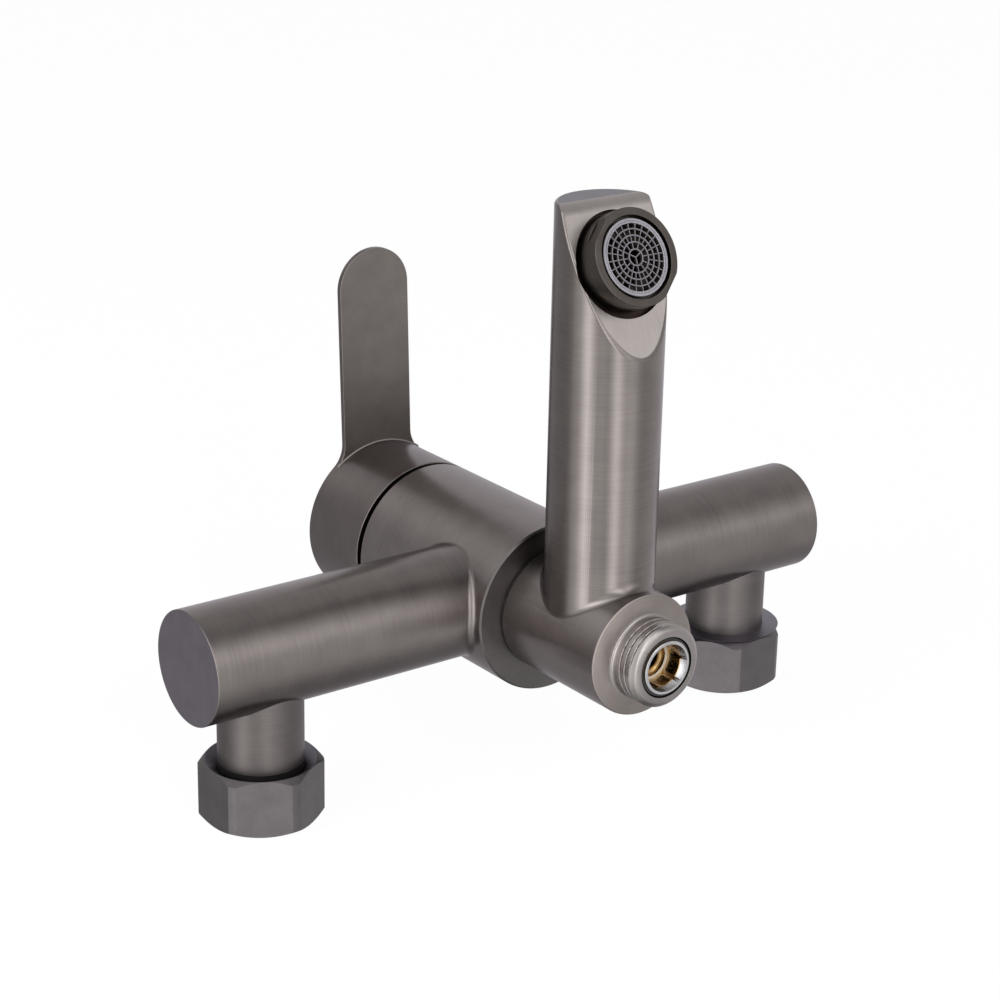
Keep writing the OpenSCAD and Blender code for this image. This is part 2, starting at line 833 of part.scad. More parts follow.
// The wall side of the cap is cut back so that it clears the body when lifted
module lift_relief() {
    clear_z = body_rise + ring_flange_t + lift_gap;
    translate([0, 0, pivot_z])
        rotate([lift_max, 0, 0])
            translate([-far / 2, -far / 2, clear_z - pivot_z - far])
                cube([far, far, far]);
}

module clamping_screw() {
    color(satin_steel)
    at_lever()
        translate([0, stem_w / 2, screw_z])
            rotate([-90, 0, 0])
                difference() {
                    cylinder(h = screw_len, d = screw_d);
                    hexagon(screw_len - screw_key, screw_len + through, screw_key);
                }
}

module screw_plug() {
    color(gunmetal)
    at_lever()
        intersection() {
            translate([0, body_d / 2 - plug_t, screw_z])
                rotate([-90, 0, 0])
                    cylinder(h = body_d, d = screw_d);
            rod(cap_z, cap_top, body_d);
        }
}

module slip_ring() {
    color(black_rubber)
    at_axis()
        ring(-body_drop - slip_t, -body_drop, sleeve_d - 2 * slip_in, diverter_d + 2 * slip_in);
}

module diverter_disc() {
    bath_r = [parting_d / 2, chamber_d / 2];
    shower_r = [shank_bore_d / 2, outlet_bore_d / 2];
    color(white_plastic)
    at_axis()
        difference() {
            rod(diverter_z, diverter_top, diverter_d);
            rod(diverter_z - through, diverter_top + through, shank_bore_d);
            sector(diverter_z - through, diverter_top + through, bath_r[0], bath_r[1], bath_half_angle);
            for (side = [-1, 1])
                rotate([0, 0, side * 90]) {
                    sector(diverter_z + diverter_t / 2, diverter_top + through,
                        shower_r[0], bath_r[1], shower_half_angle);
                    sector(diverter_z - through, diverter_top + through,
                        shower_r[0], shower_r[1], shower_half_angle);
                }
        }
}

// One casting: swivel sleeve, spout tube, shower outlet and aerator nozzle
module spout() {
    color(gunmetal)
    difference() {
        union() {
            difference() {
                at_axis() spout_outside();
                facet_cut();
                at_facet(aerator_along) ring(-recess_depth, far, recess_d, nozzle_d);
            }
            at_facet(aerator_along) rod(-recess_depth - eps, nozzle_h, nozzle_d);
        }
        at_axis() spout_bores();
        at_facet(aerator_along) rod(-nozzle_bore_depth, nozzle_h + through, nozzle_bore_d);
    }
}

module spout_outside() {
    thread_z = mouth_z + outlet_chamfer;
    rod(-sleeve_end_z + sleeve_edge, sleeve_top, sleeve_d);
    translate([0, 0, -sleeve_end_z])
        cylinder(h = sleeve_edge, d1 = sleeve_d - 2 * sleeve_edge, d2 = sleeve_d);
    rod(-sleeve_end_z - relief_len, -sleeve_end_z + eps, relief_d);
    rod(thread_z, -sleeve_end_z - relief_len + eps, outlet_thread_d);
    translate([0, 0, mouth_z])
        cylinder(h = outlet_chamfer + eps, d1 = outlet_face_d, d2 = outlet_thread_d);
    translate([0, 0, -spout_axis_z])
        rotate([90, 0, 0])
            cylinder(h = spout_reach, d = spout_d);
}

module facet_cut() {
    at_facet(0)
        translate([-far / 2, 0, 0])
            difference() {
                cube([far, far, far]);
                translate([far / 2, aerator_along, 0]) rod(-1, nozzle_h, nozzle_d);
            }
}

module spout_bores() {
    aerator_y = facet_start + aerator_along * cos(facet_angle);
    rod(diverter_z, sleeve_top + through, diverter_d + 2 * shank_gap);
    ring(-chamber_end_z, diverter_z + eps, chamber_d, parting_d);
    rod(-chamber_end_z, diverter_z + through, outlet_bore_d);
    rod(step_bottom - through, diverter_z, shank_bore_d);
    rod(mouth_z - through, step_bottom, outlet_bore_d);
    shank_seal_room();
    translate([0, -parting_d / 2, -spout_axis_z])
        rotate([90, 0, 0])
            rod(0, channel_end - parting_d / 2, channel_d);
    translate([0, 0, -spout_axis_z + feed_rise])
        rotate([90, 0, 0])
            rod(channel_end - through, aerator_y + feed_past, feed_d);
}

module shank_seal_room() {
    mid = -chamber_end_z - step_h / 2;
    rod(mid - shank_seal_h / 2, mid + shank_seal_h / 2, shank_seal_d);
}

// Hollow bolt that holds the swivel sleeve and leads shower water to the outlet
module spindle() {
    color(brass)
    at_axis()
        difference() {
            union() {
                rod(head_z, head_top, head_d);
                rod(head_top - eps, -body_drop + spindle_thread_len - spindle_end_gap, shank_d);
            }
            hexagon(head_z - through, head_z + head_key_depth, head_key);
            rod(head_z, -spindle_bore_top, spindle_bore_d);
            for (turn = [0, 90])
                translate([0, 0, -cross_port_z])
                    rotate([90, 0, turn])
                        cylinder(h = 2 * shank_d, d = cross_port_d, center = true);
        }
}

module mouth_seal() {
    seal_z = mouth_z + mouth_seal_in;
    color(black_rubber)
    at_axis() ring(seal_z, seal_z + mouth_seal_h, outlet_bore_d - 2 * seal_gap, head_d);
}

module shank_seal() {
    mid = -chamber_end_z - step_h / 2;
    color(black_rubber)
    at_axis()
        ring(mid - shank_seal_h / 2, mid + shank_seal_h / 2, shank_seal_d, shank_d + 2 * seal_gap);
}

module aerator_housing() {
    color("#4a4745")
    at_facet(aerator_along)
        difference() {
            rod(housing_z, aerator_proud, aerator_d);
            rod(housing_z - through, lip_z, nozzle_d + 2 * nozzle_gap);
            rod(lip_z - through, aerator_proud + through, aerator_mouth_d);
            for (side = [0, 180])
                rotate([0, 0, aerator_flat_angle + side])
                    translate([aerator_flats / 2, -far / 2, aerator_proud - aerator_flat_len])
                        cube([far, far, far]);
        }
}

module aerator_seal() {
    color(black_rubber)
    at_facet(aerator_along) ring(nozzle_h, flat_seal_top, nozzle_d, nozzle_bore_d);
}

module aerator_insert() {
    cup_d = insert_d - 2 * grid_rim;
    color(grey_plastic)
    at_facet(aerator_along)
        difference() {
            union() {
                rod(flat_seal_top, insert_flange_top, nozzle_d);
                rod(flat_seal_top - insert_back, insert_top, insert_d);
            }
            rod(flat_seal_top - insert_back + grid_t, insert_top - grid_t, cup_d);
            translate([0, 0, insert_top - grid_t - eps])
                linear_extrude(grid_t + through) grid_openings(cup_d / 2);
            rod(flat_seal_top - insert_back - through, insert_top - grid_t, insert_hole_d);
        }
}

// Rings of openings between the hub and the rim of the insert
module grid_openings(r_out) {
    pitch = (r_out - grid_hub_d / 2) / grid_rings;
    for (i = [0 : grid_rings - 1]) {
        r_in = grid_hub_d / 2 + i * pitch;
        difference() {
            circle(r_in + pitch - (i < grid_rings - 1 ? grid_rib / 2 : 0));
            circle(r_in + grid_rib / 2);
            grid_spokes(i == 0 ? grid_ribs : 2 * grid_ribs, r_out);
        }
    }
    difference() {
        circle((grid_hub_d - grid_rib) / 2);
        grid_spokes(hub_spokes, r_out);
    }
}

module grid_spokes(count, reach) {
    for (k = [0 : count - 1])
        rotate([0, 0, k * 360 / count])
            translate([0, -grid_rib / 2]) square([2 * reach, grid_rib]);
}

body();
inlet_nipple(-1);  // hot_inlet_nipple
inlet_nipple(1);  // cold_inlet_nipple
union_nut(-1, hot_nut_angle);  // hot_union_nut
union_nut(1, cold_nut_angle);  // cold_union_nut
inlet_washer(-1);  // hot_washer
inlet_washer(1);  // cold_washer
cartridge_base();
port_seals();
cartridge_housing();
fixed_disc();
moving_disc();
disc_carrier();
rotor();
pivot_pin();
lever_stem();
retaining_nut();
cover_ring();
lever_handle();
clamping_screw();
screw_plug();
slip_ring();
diverter_disc();
spout();
spindle();
mouth_seal();
shank_seal();
aerator_housing();
aerator_insert();
aerator_seal();
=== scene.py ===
# Looks of a wall-mounted bath mixer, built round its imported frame. X runs along the two arms,
# +Z is up towards the lever, the wall is the plane Y = 0 and the spout points along -Y.
# Pieces are modelled in millimetres and brought to metres when they are finished.
import json
from math import acos, atan2, cos, hypot, pi, radians, sin, sqrt, tan

import bmesh
import bpy
from mathutils import Matrix, Vector


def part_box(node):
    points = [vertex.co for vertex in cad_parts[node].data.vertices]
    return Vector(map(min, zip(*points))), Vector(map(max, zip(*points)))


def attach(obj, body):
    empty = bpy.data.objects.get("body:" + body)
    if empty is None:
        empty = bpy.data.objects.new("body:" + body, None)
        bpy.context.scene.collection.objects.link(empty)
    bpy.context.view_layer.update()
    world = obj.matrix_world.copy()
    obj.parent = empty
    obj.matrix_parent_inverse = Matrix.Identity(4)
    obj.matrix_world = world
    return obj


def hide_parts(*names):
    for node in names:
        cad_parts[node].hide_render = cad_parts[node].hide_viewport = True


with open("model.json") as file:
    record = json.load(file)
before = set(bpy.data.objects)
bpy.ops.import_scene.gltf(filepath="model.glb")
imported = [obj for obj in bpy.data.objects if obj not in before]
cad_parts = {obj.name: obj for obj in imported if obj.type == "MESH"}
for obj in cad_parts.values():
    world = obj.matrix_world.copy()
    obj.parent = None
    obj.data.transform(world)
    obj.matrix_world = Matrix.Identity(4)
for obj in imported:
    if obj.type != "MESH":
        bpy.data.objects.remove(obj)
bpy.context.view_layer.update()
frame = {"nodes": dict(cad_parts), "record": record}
MM = 0.001


def box_mm(node):
    """Lowest and highest corner of a CAD node, in millimetres."""
    low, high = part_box(node)
    return low / MM, high / MM


def mount_mm(name):
    """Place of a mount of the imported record, in millimetres."""
    mount = next(m for m in frame["record"]["mounts"] if m["name"] == name)
    return Vector(mount["pos_m"]) / MM


# Facets round the large cylinders, and round small ones
SIDES = 192
FEW_SIDES = 96
# Points closer than this are one point
WELD = 0.002
# Edges broken by less than this angle are shaded smooth
SMOOTH = radians(32)

# Body and arms
AXIS_Y = mount_mm("shower_outlet").y
body_low, body_high = box_mm("body")
BODY_R = AXIS_Y - body_low.y
ARM_END = body_high.x
ARM_R = 14.4
STUB_R = 10.7
STUB_FOOT = body_high.y
BODY_EDGE = 0.4
FILLET_R = 2.5
ARM_FILLET_R = 1.7
INLET_X = abs(mount_mm("hot_inlet").x)

# Spout and its outlet
spout_low, spout_high = box_mm("spout")
SLEEVE_R = 15.5
SLEEVE_TOP = spout_high.z
SLEEVE_END = -54.0
TUBE_R = 13.6
TUBE_Z = -36.5
TUBE_END = spout_low.y
FACET_ANGLE = radians(24.65)
FACET_Y = AXIS_Y - 73.35
FACET_Z = TUBE_Z - TUBE_R
AERATOR_ALONG = 23.45
# Radii of the rounded edges: beside the facet and at its tip, round the end face, and between
# facet and end face
FACET_EDGE_R = 0.8
FACET_TIP_R = 4.2
END_RIM_R = 1.0
BROW_R = 4.4
# Round recess that the aerator sits in: its depth, radius and shift towards the facet's tip
RECESS = 1.6
RECESS_R = 13.0
RECESS_SHIFT = 0.4
NOZZLE_R = 10.9
OUTLET_R = 10.45
PIPE_PITCH = 1.814
PIPE_DEPTH = 0.45
PIPE_GROOVE = 0.26
ROOT_RING_R = 11.05

# Aerator: levels over the facet of the housing's back, face and inner lip, and of the insert's
# front and seat
HOUSING_BACK = -0.6
HOUSING_FACE = 6.25
HOUSING_LIP = 3.85
INSERT_TOP = 5.95
INSERT_SEAT = 3.3
GRID_T = 0.9
# Radii of the rings of the insert's grid, hub first
GRID_RINGS = (1.95, 3.65, 5.2, 6.74)
RING_HALF = 0.17
SPOKE_HALF = 0.12

# Lever
CAP_TOP = box_mm("lever_handle")[1].z
CAP_FOOT = 37.65
BLADE_T = 1.6
BLADE_HALF = 10.7
BLADE_REACH = 76.5
FLARE_R = 8.0
LEVER_TURN = radians(-1.9)

# Union nuts: width over the flats, height, turned corner and its chamfers on the wall side and on
# the stub side
NUT_FLATS = 28.0
NUT_H = 15.2
NUT_CORNER_R = 15.5
NUT_CHAMFER = 1.2
NUT_TOP_CHAMFER = 1.35
# Thread, its end, the groove behind it and the hole for the stub, then the countersunk mouth by its
# radius in the nut's top face and its depth
NUT_BORE_R = 12.06
NUT_THREAD = 8.0
NUT_GROOVE_R = 13.2
NUT_LIP_Y = -12
NUT_LIP_R = 10.85
MOUTH_R = 13.75
MOUTH_DEPTH = 2.2


# Modelling by hand

TURNS = {"X": (0, pi / 2, 0), "Y": (-pi / 2, 0, 0), "Z": (0, 0, 0)}


def fresh():
    """Leaves edit mode and selects nothing."""
    if bpy.context.mode != "OBJECT":
        bpy.ops.object.mode_set(mode="OBJECT")
    bpy.ops.object.select_all(action="DESELECT")


def activate(obj):
    fresh()
    obj.select_set(True)
    bpy.context.view_layer.objects.active = obj


def settle(obj):
    """Moves an object's place, turn and size into its mesh."""
    activate(obj)
    bpy.ops.object.transform_apply(location=True, rotation=True, scale=True)
    return obj


def spot(along, at, height):
    """The point at a height along an axis; at holds the other two coordinates."""
    if along == "X":
        return (height, at[0], at[1])
    if along == "Y":
        return (at[0], height, at[1])
    return (at[0], at[1], height)


def rod(name, radius, start, end, along="Z", at=(0, 0), sides=SIDES):
    """A round bar between two heights along an axis."""
    fresh()
    bpy.ops.mesh.primitive_cylinder_add(
        vertices=sides, radius=radius, depth=abs(end - start),
        location=spot(along, at, (start + end) / 2), rotation=TURNS[along])
    obj = bpy.context.object
    obj.name = name
    return settle(obj)


def block(name, low, high):
    """A box between two corners."""
    fresh()
    size = [b - a for a, b in zip(low, high)]
    bpy.ops.mesh.primitive_cube_add(size=1, location=[(a + b) / 2 for a, b in zip(low, high)])
    obj = bpy.context.object
    obj.name = name
    obj.scale = size
    return settle(obj)


def hexagon(name, flats, start, end, along="Z", at=(0, 0), turn=0.0):
    """A hexagonal bar with the given width across its flats."""
    fresh()
    bpy.ops.mesh.primitive_cylinder_add(
        vertices=6, radius=flats / 2 / cos(pi / 6), depth=abs(end - start))
    obj = bpy.context.object
    obj.name = name
    obj.rotation_euler = (0, 0, turn)
    settle(obj)
    obj.rotation_euler = TURNS[along]
    obj.location = spot(along, at, (start + end) / 2)
    return settle(obj)


def turned(name, outline, along="Z", at=(0, 0), sides=SIDES):
    """A lathe piece: (radius, height) points spun round an axis."""
    fresh()
    mesh = bpy.data.meshes.new(name)
    edges = [(i, i + 1) for i in range(len(outline) - 1)]
    if outline[0][0] > 0 and outline[-1][0] > 0:
        edges.append((len(outline) - 1, 0))
    mesh.from_pydata([(r, 0, h) for r, h in outline], edges, [])
    obj = bpy.data.objects.new(name, mesh)
    bpy.context.scene.collection.objects.link(obj)
    activate(obj)
    bpy.ops.object.mode_set(mode="EDIT")
    bpy.ops.mesh.select_all(action="SELECT")
    bpy.ops.mesh.spin(steps=sides, angle=2 * pi, center=(0, 0, 0), axis=(0, 0, 1))
    bpy.ops.mesh.select_all(action="SELECT")
    bpy.ops.mesh.remove_doubles(threshold=WELD)
    bpy.ops.mesh.normals_make_consistent(inside=False)
    bpy.ops.object.mode_set(mode="OBJECT")
    obj.rotation_euler = TURNS[along]
    obj.location = spot(along, at, 0)
    return settle(obj)


def shell(name, points, faces):
    """A closed mesh from points and faces, turned outwards."""
    fresh()
    mesh = bpy.data.meshes.new(name)
    mesh.from_pydata(points, [], faces)
    obj = bpy.data.objects.new(name, mesh)
    bpy.context.scene.collection.objects.link(obj)
    activate(obj)
    bpy.ops.object.mode_set(mode="EDIT")
    bpy.ops.mesh.select_all(action="SELECT")
    bpy.ops.mesh.normals_make_consistent(inside=False)
    bpy.ops.object.mode_set(mode="OBJECT")
    return obj


def combine(obj, tools, how):
    """UNION joins the tools to a piece, DIFFERENCE cuts them out, INTERSECT keeps what is common."""
    for tool in tools:
        step = obj.modifiers.new(how.lower(), "BOOLEAN")
        step.operation = how
        step.object = tool
        step.solver = "EXACT"
        step.material_mode = "TRANSFER"
        activate(obj)
        bpy.ops.object.modifier_apply(modifier=step.name)
        bpy.data.objects.remove(tool)
    return obj


def pick(obj, kind, test):
    """Enters edit mode with the faces or edges selected that pass a test."""
    activate(obj)
    bpy.ops.object.mode_set(mode="EDIT")
    bpy.ops.mesh.select_mode(type=kind)
    bpy.ops.mesh.select_all(action="DESELECT")
    mesh = bmesh.from_edit_mesh(obj.data)
    for part in mesh.edges if kind == "EDGE" else mesh.faces:
        if test(part):
            part.select_set(True)
    bmesh.update_edit_mesh(obj.data)


def round_edges(obj, width, test, steps=3):
    """Rounds the edges that pass a test."""
    pick(obj, "EDGE", test)
    bpy.ops.mesh.bevel(offset=width, segments=steps, profile=0.5, clamp_overlap=False)
    bpy.ops.object.mode_set(mode="OBJECT")
    return obj


def sharp(edge, angle=radians(40)):
    """Whether an edge is broken by more than an angle."""
    return len(edge.link_faces) == 2 and edge.calc_face_angle(0) > angle


def coat(obj, material, test=None):
    """Gives a piece, or its faces that pass a test, a material."""
    if test is None:
        obj.data.materials.clear()
        obj.data.materials.append(material)
        return obj
    if material.name not in [m.name for m in obj.data.materials]:
        obj.data.materials.append(material)
    index = [m.name for m in obj.data.materials].index(material.name)
    for face in obj.data.polygons:
        if test(face):
            face.material_index = index
    return obj


def finished(obj, body, slot, *nodes):
    """Brings a piece to metres, shades it and puts it on its body in place of its CAD nodes."""
    obj.scale = (MM, MM, MM)
    settle(obj)
    bpy.ops.object.shade_smooth_by_angle(angle=SMOOTH)
    even = obj.modifiers.new("even", "WEIGHTED_NORMAL")
    even.keep_sharp = True
    bpy.ops.object.modifier_apply(modifier=even.name)
    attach(obj, body)
    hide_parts(*nodes)
    return obj


# Materials

def linear(code):
    """An sRGB hex colour as linear RGBA."""
    parts = [int(code[i:i + 2], 16) / 255 for i in (1, 3, 5)]
    return tuple(c / 12.92 if c <= 0.04045 else ((c + 0.055) / 1.055) ** 2.4 for c in parts) + (1,)


def add(tree, kind, links=None, **settings):
    """Adds a node with its settings; links maps its sockets to values or to other nodes' sockets."""
    node = tree.nodes.new(kind)
    for key, value in settings.items():
        setattr(node, key, value)
    for key, value in (links or {}).items():
        if isinstance(value, bpy.types.NodeSocket):
            tree.links.new(value, node.inputs[key])
        else:
            node.inputs[key].default_value = value
    return node


def new_material(name):
    """An empty material with its Principled shader and output."""
    material = bpy.data.materials.new(name)
    material.use_nodes = True
    tree = material.node_tree
    tree.nodes.clear()
    shader = add(tree, "ShaderNodeBsdfPrincipled")
    add(tree, "ShaderNodeOutputMaterial", {"Surface": shader.outputs["BSDF"]})
    return material, tree, shader


def ramp(tree, factor, stops):
    """A colour ramp; stops are (position, hex colour)."""
    node = add(tree, "ShaderNodeValToRGB", {"Fac": factor})
    for i, (place, code) in enumerate(stops):
        element = node.color_ramp.elements[i] if i < 2 else node.color_ramp.elements.new(place)
        element.position = place
        element.color = linear(code)
    return node


def brushed(name, axis, colours, roughness, anisotropy, line=0.30, stroke=14.0, tilt=(0, 0, 0),
            line_depth=0.05, grain_depth=0.04):
    """Metal brushed round an axis. line is the spacing of the brush lines and stroke their length,
    in millimetres; both are coarser than the real 0.05 mm lines, which are too fine to show."""
    material, tree, shader = new_material(name)
    place = add(tree, "ShaderNodeTexCoord")
    fine = [1 / (line * MM) if letter == axis else 1 / (stroke * MM) for letter in "XYZ"]
    turned_place = add(tree, "ShaderNodeMapping",
                       {"Vector": place.outputs["Object"], "Rotation": tilt})
    lines_place = add(tree, "ShaderNodeMapping",
                      {"Vector": turned_place.outputs["Vector"], "Scale": fine})
    lines = add(tree, "ShaderNodeTexNoise",
                {"Vector": lines_place.outputs["Vector"], "Scale": 1.0, "Detail": 3.0, "Roughness": 0.6})
    cloud = add(tree, "ShaderNodeTexNoise",
                {"Vector": place.outputs["Object"], "Scale": 1 / (9 * MM), "Detail": 3.0, "Roughness": 0.55})
    grain = add(tree, "ShaderNodeTexNoise",
                {"Vector": place.outputs["Object"], "Scale": 1 / (0.35 * MM), "Detail": 2.0})
    mix = add(tree, "ShaderNodeMath", {0: lines.outputs["Fac"], 1: cloud.outputs["Fac"]}, operation="ADD")
    half = add(tree, "ShaderNodeMath", {0: mix.outputs[0], 1: 0.5}, operation="MULTIPLY")
    tint = ramp(tree, half.outputs[0], ((0.36, colours[0]), (0.64, colours[1])))
    rough = add(tree, "ShaderNodeMapRange",
                {"Value": half.outputs[0], "From Min": 0.35, "From Max": 0.65,
                 "To Min": roughness - 0.015, "To Max": roughness + 0.015})
    relief = add(tree, "ShaderNodeBump",
                 {"Height": lines.outputs["Fac"], "Strength": line_depth, "Distance": 0.02 * MM})
    relief = add(tree, "ShaderNodeBump",
                 {"Height": grain.outputs["Fac"], "Strength": grain_depth, "Distance": 0.02 * MM,
                  "Normal": relief.outputs["Normal"]})
    lay = add(tree, "ShaderNodeVectorTransform",
              {"Vector": [float(letter == axis) for letter in "XYZ"]},
              vector_type="VECTOR", convert_from="OBJECT", convert_to="WORLD")
    for key, value in {"Base Color": tint.outputs["Color"], "Roughness": rough.outputs["Result"],
                       "Normal": relief.outputs["Normal"], "Tangent": lay.outputs["Vector"]}.items():
        tree.links.new(value, shader.inputs[key])
    shader.inputs["Metallic"].default_value = 1.0
    shader.inputs["Anisotropic"].default_value = anisotropy
    shader.inputs["Specular Tint"].default_value = linear("#f3eff5")
    return material


def turned_face(name, colours, roughness, anisotropy, line=0.25):
    """Metal faced on a lathe about the body's axis: fine rings, and gloss that fans out from the
    centre. line is the ring spacing in millimetres, coarser than the real one so that it shows."""
    material, tree, shader = new_material(name)
    place = add(tree, "ShaderNodeTexCoord")
    across = add(tree, "ShaderNodeVectorMath", {0: place.outputs["Object"], 1: (0, AXIS_Y * MM, 0)},
                 operation="SUBTRACT")
    spoke = add(tree, "ShaderNodeVectorMath", {0: across.outputs[0], 1: (1, 1, 0)}, operation="MULTIPLY")
    radius = add(tree, "ShaderNodeVectorMath", {0: spoke.outputs[0]}, operation="LENGTH")
    rings = add(tree, "ShaderNodeTexNoise",
                {"W": radius.outputs["Value"], "Scale": 1 / (line * MM), "Detail": 2.0},
                noise_dimensions="1D")
    cloud = add(tree, "ShaderNodeTexNoise",
                {"Vector": place.outputs["Object"], "Scale": 1 / (5 * MM), "Detail": 3.0})
    mix = add(tree, "ShaderNodeMath", {0: rings.outputs["Fac"], 1: cloud.outputs["Fac"]}, operation="ADD")
    half = add(tree, "ShaderNodeMath", {0: mix.outputs[0], 1: 0.5}, operation="MULTIPLY")
    tint = ramp(tree, half.outputs[0], ((0.36, colours[0]), (0.64, colours[1])))
    rough = add(tree, "ShaderNodeMapRange",
                {"Value": half.outputs[0], "From Min": 0.35, "From Max": 0.65,
                 "To Min": roughness - 0.03, "To Max": roughness + 0.03})
    relief = add(tree, "ShaderNodeBump",
                 {"Height": rings.outputs["Fac"], "Strength": 0.08, "Distance": 0.02 * MM})
    lay = add(tree, "ShaderNodeVectorTransform", {"Vector": spoke.outputs[0]},
              vector_type="VECTOR", convert_from="OBJECT", convert_to="WORLD")
    for key, value in {"Base Color": tint.outputs["Color"], "Roughness": rough.outputs["Result"],
                       "Normal": relief.outputs["Normal"], "Tangent": lay.outputs["Vector"]}.items():
        tree.links.new(value, shader.inputs[key])
    shader.inputs["Metallic"].default_value = 1.0
    shader.inputs["Anisotropic"].default_value = anisotropy
    return material


def plain(name, colours, metallic, roughness, grain=0.4, depth=0.05, spread=0.04, ior=1.5):
    """A surface with fine grain and slight clouding; grain is in millimetres."""
    material, tree, shader = new_material(name)
    place = add(tree, "ShaderNodeTexCoord")
    cloud = add(tree, "ShaderNodeTexNoise",
                {"Vector": place.outputs["Object"], "Scale": 1 / (6 * MM), "Detail": 4.0, "Roughness": 0.6})
    fine = add(tree, "ShaderNodeTexNoise",
               {"Vector": place.outputs["Object"], "Scale": 1 / (grain * MM), "Detail": 2.0})
    tint = ramp(tree, cloud.outputs["Fac"], ((0.35, colours[0]), (0.65, colours[1])))
    rough = add(tree, "ShaderNodeMapRange",
                {"Value": fine.outputs["Fac"], "From Min": 0.35, "From Max": 0.65,
                 "To Min": roughness - spread, "To Max": roughness + spread})
    relief = add(tree, "ShaderNodeBump",
                 {"Height": fine.outputs["Fac"], "Strength": depth, "Distance": 0.02 * MM})
    for key, value in {"Base Color": tint.outputs["Color"], "Roughness": rough.outputs["Result"],
                       "Normal": relief.outputs["Normal"]}.items():
        tree.links.new(value, shader.inputs[key])
    shader.inputs["Metallic"].default_value = metallic
    if metallic < 1:
        shader.inputs["IOR"].default_value = ior
    return material


# The mixer's finish is a gunmetal-coloured metallic coating over brushed metal: grey, with a faint
# warm cast. Each surface has its own tone and brush direction. The tones are matched to the
# photograph's light; the real finish is most likely one tone all over.
GUNMETAL = ("#706a68", "#7d7774")
# Finely brushed round the arm: one narrow bright line along it, hardly any grain
arm_metal = brushed("gunmetal_brushed_round_arms", "X", GUNMETAL, 0.30, 0.55,
                    line_depth=0.02, grain_depth=0.01)
# Brushed by hand with a slant: visible short scratches that break up the highlight
barrel_metal = brushed("gunmetal_hand_brushed_barrel", "Z", ("#76706e", "#837d7b"), 0.32, 0.35,
                       stroke=5.0, tilt=(radians(-14), radians(14), 0), line_depth=0.2)
# Fine rings round the cap: a soft upright highlight
cap_metal = brushed("gunmetal_brushed_cap", "Z", ("#686260", "#746e6c"), 0.31, 0.45, stroke=10.0)
# Brushed round the tube: a long bright line that runs to the tip
spout_metal = brushed("gunmetal_brushed_round_spout", "Y", GUNMETAL, 0.29, 0.55,
                      line_depth=0.05, grain_depth=0.01)
# Lighter than the body, nearly smooth
sleeve_metal = brushed("gunmetal_brushed_round_sleeve", "Z", ("#817a78", "#8d8684"), 0.31, 0.45,
                       line_depth=0.02, grain_depth=0.01)
# Duller and darker: a wide, weak highlight
stub_metal = brushed("gunmetal_brushed_round_stubs", "Y", ("#605b5a", "#6b6665"), 0.46, 0.2,
                     line_depth=0.02)
# Flat faces without a brush direction: an even, slightly bluish sheen
flat_metal = plain("gunmetal_satin_flat", ("#615e66", "#68646d"), 1.0, 0.38)
arm_end_metal = plain("gunmetal_satin_arm_end", ("#756f78", "#7c767f"), 1.0, 0.40)
# Faced on a lathe: fine rings, and a glint that fans out from the centre
face_metal = turned_face("gunmetal_turned_face", ("#5c5957", "#646160"), 0.36, 0.5)
shoulder_metal = turned_face("gunmetal_turned_shoulder", ("#89817e", "#958d89"), 0.33, 0.6)
# Short scratches across a light, even face
facet_metal = brushed("gunmetal_scratched_facet", "X", ("#9e9794", "#a9a29f"), 0.36, 0.2, stroke=6.0)
# Smooth satin, a soft gradient over the whole blade
blade_metal = plain("gunmetal_satin_blade", ("#736d6a", "#7a7471"), 1.0, 0.36)
# Matt satin: each face of the nut in one even tone. Its turned mouth is a little brighter: a lighter copy of
# the same metal, painted light
nut_metal = plain("gunmetal_satin_nut", ("#625e60", "#696567"), 1.0, 0.52)
mouth_metal = plain("gunmetal_satin_mouth_painted_light", ("#7a7680", "#827e88"), 1.0, 0.45)
# Bare turned steel: light, with sharp glints. The thread's sides are lightest: a lighter copy of the same
# steel, painted light
bright_steel = brushed("steel_turned_bare", "Z", ("#8c8785", "#9b9694"), 0.27, 0.4,
                       line_depth=0.03, grain_depth=0.01)
thread_steel = brushed("steel_turned_thread_painted_light", "Z", ("#aaa5a3", "#b8b3b1"), 0.30, 0.4,
                       line_depth=0.03, grain_depth=0.01)
# Only half metallic, so that this step reads pale and doesn't mirror the brass round it
ring_steel = plain("nickel_plated_step", ("#cfccc8", "#d8d5d1"), 0.5, 0.25)
# A thin bright edge round the spindle's hexagon
chrome_rim = plain("chrome_plated_rim", ("#b6b6b9", "#c2c2c5"), 1.0, 0.28)
# Painted shade, nearly black with hardly any gloss: the gaps round the spindle and round the stubs, and the
# stubs where they go into the nuts
deep_shade = plain("undercut_painted_shade", ("#0f0e0e", "#151413"), 0.0, 0.5, ior=1.2)
# Rougher and darker than the outside: walls of bores. The recess behind the aerator is darker still, with
# painted shade
cast_bore = plain("casting_bore", ("#4b4644", "#575250"), 1.0, 0.45, grain=0.8, depth=0.2)
recess_shade = plain("casting_recess_painted_shade", ("#2e2623", "#3b312e"), 1.0, 0.5)
# Dark satin ring with soft light edges
dark_satin = plain("dark_coating_satin", ("#4c4744", "#544f4b"), 1.0, 0.33)
# Moulded plastic: even colour and a dull gloss. The top of the insert's rim is a lighter copy, painted
# light, and the walls and floor between its bars are painted shade
insert_plastic = plain("acetal_moulded_grey", ("#58565b", "#5f5d62"), 0.0, 0.42)
rim_plastic = plain("acetal_moulded_rim_painted_light", ("#737176", "#7b797e"), 0.0, 0.42)
insert_shade = plain("acetal_moulded_painted_shade", ("#241f1c", "#2d2824"), 0.0, 0.5)
dark_plastic = plain("abs_moulded_dark", ("#2e2a28", "#363230"), 0.0, 0.45)
white_plastic = plain("acetal_moulded_white", ("#d6d5d0", "#dededa"), 0.0, 0.40)
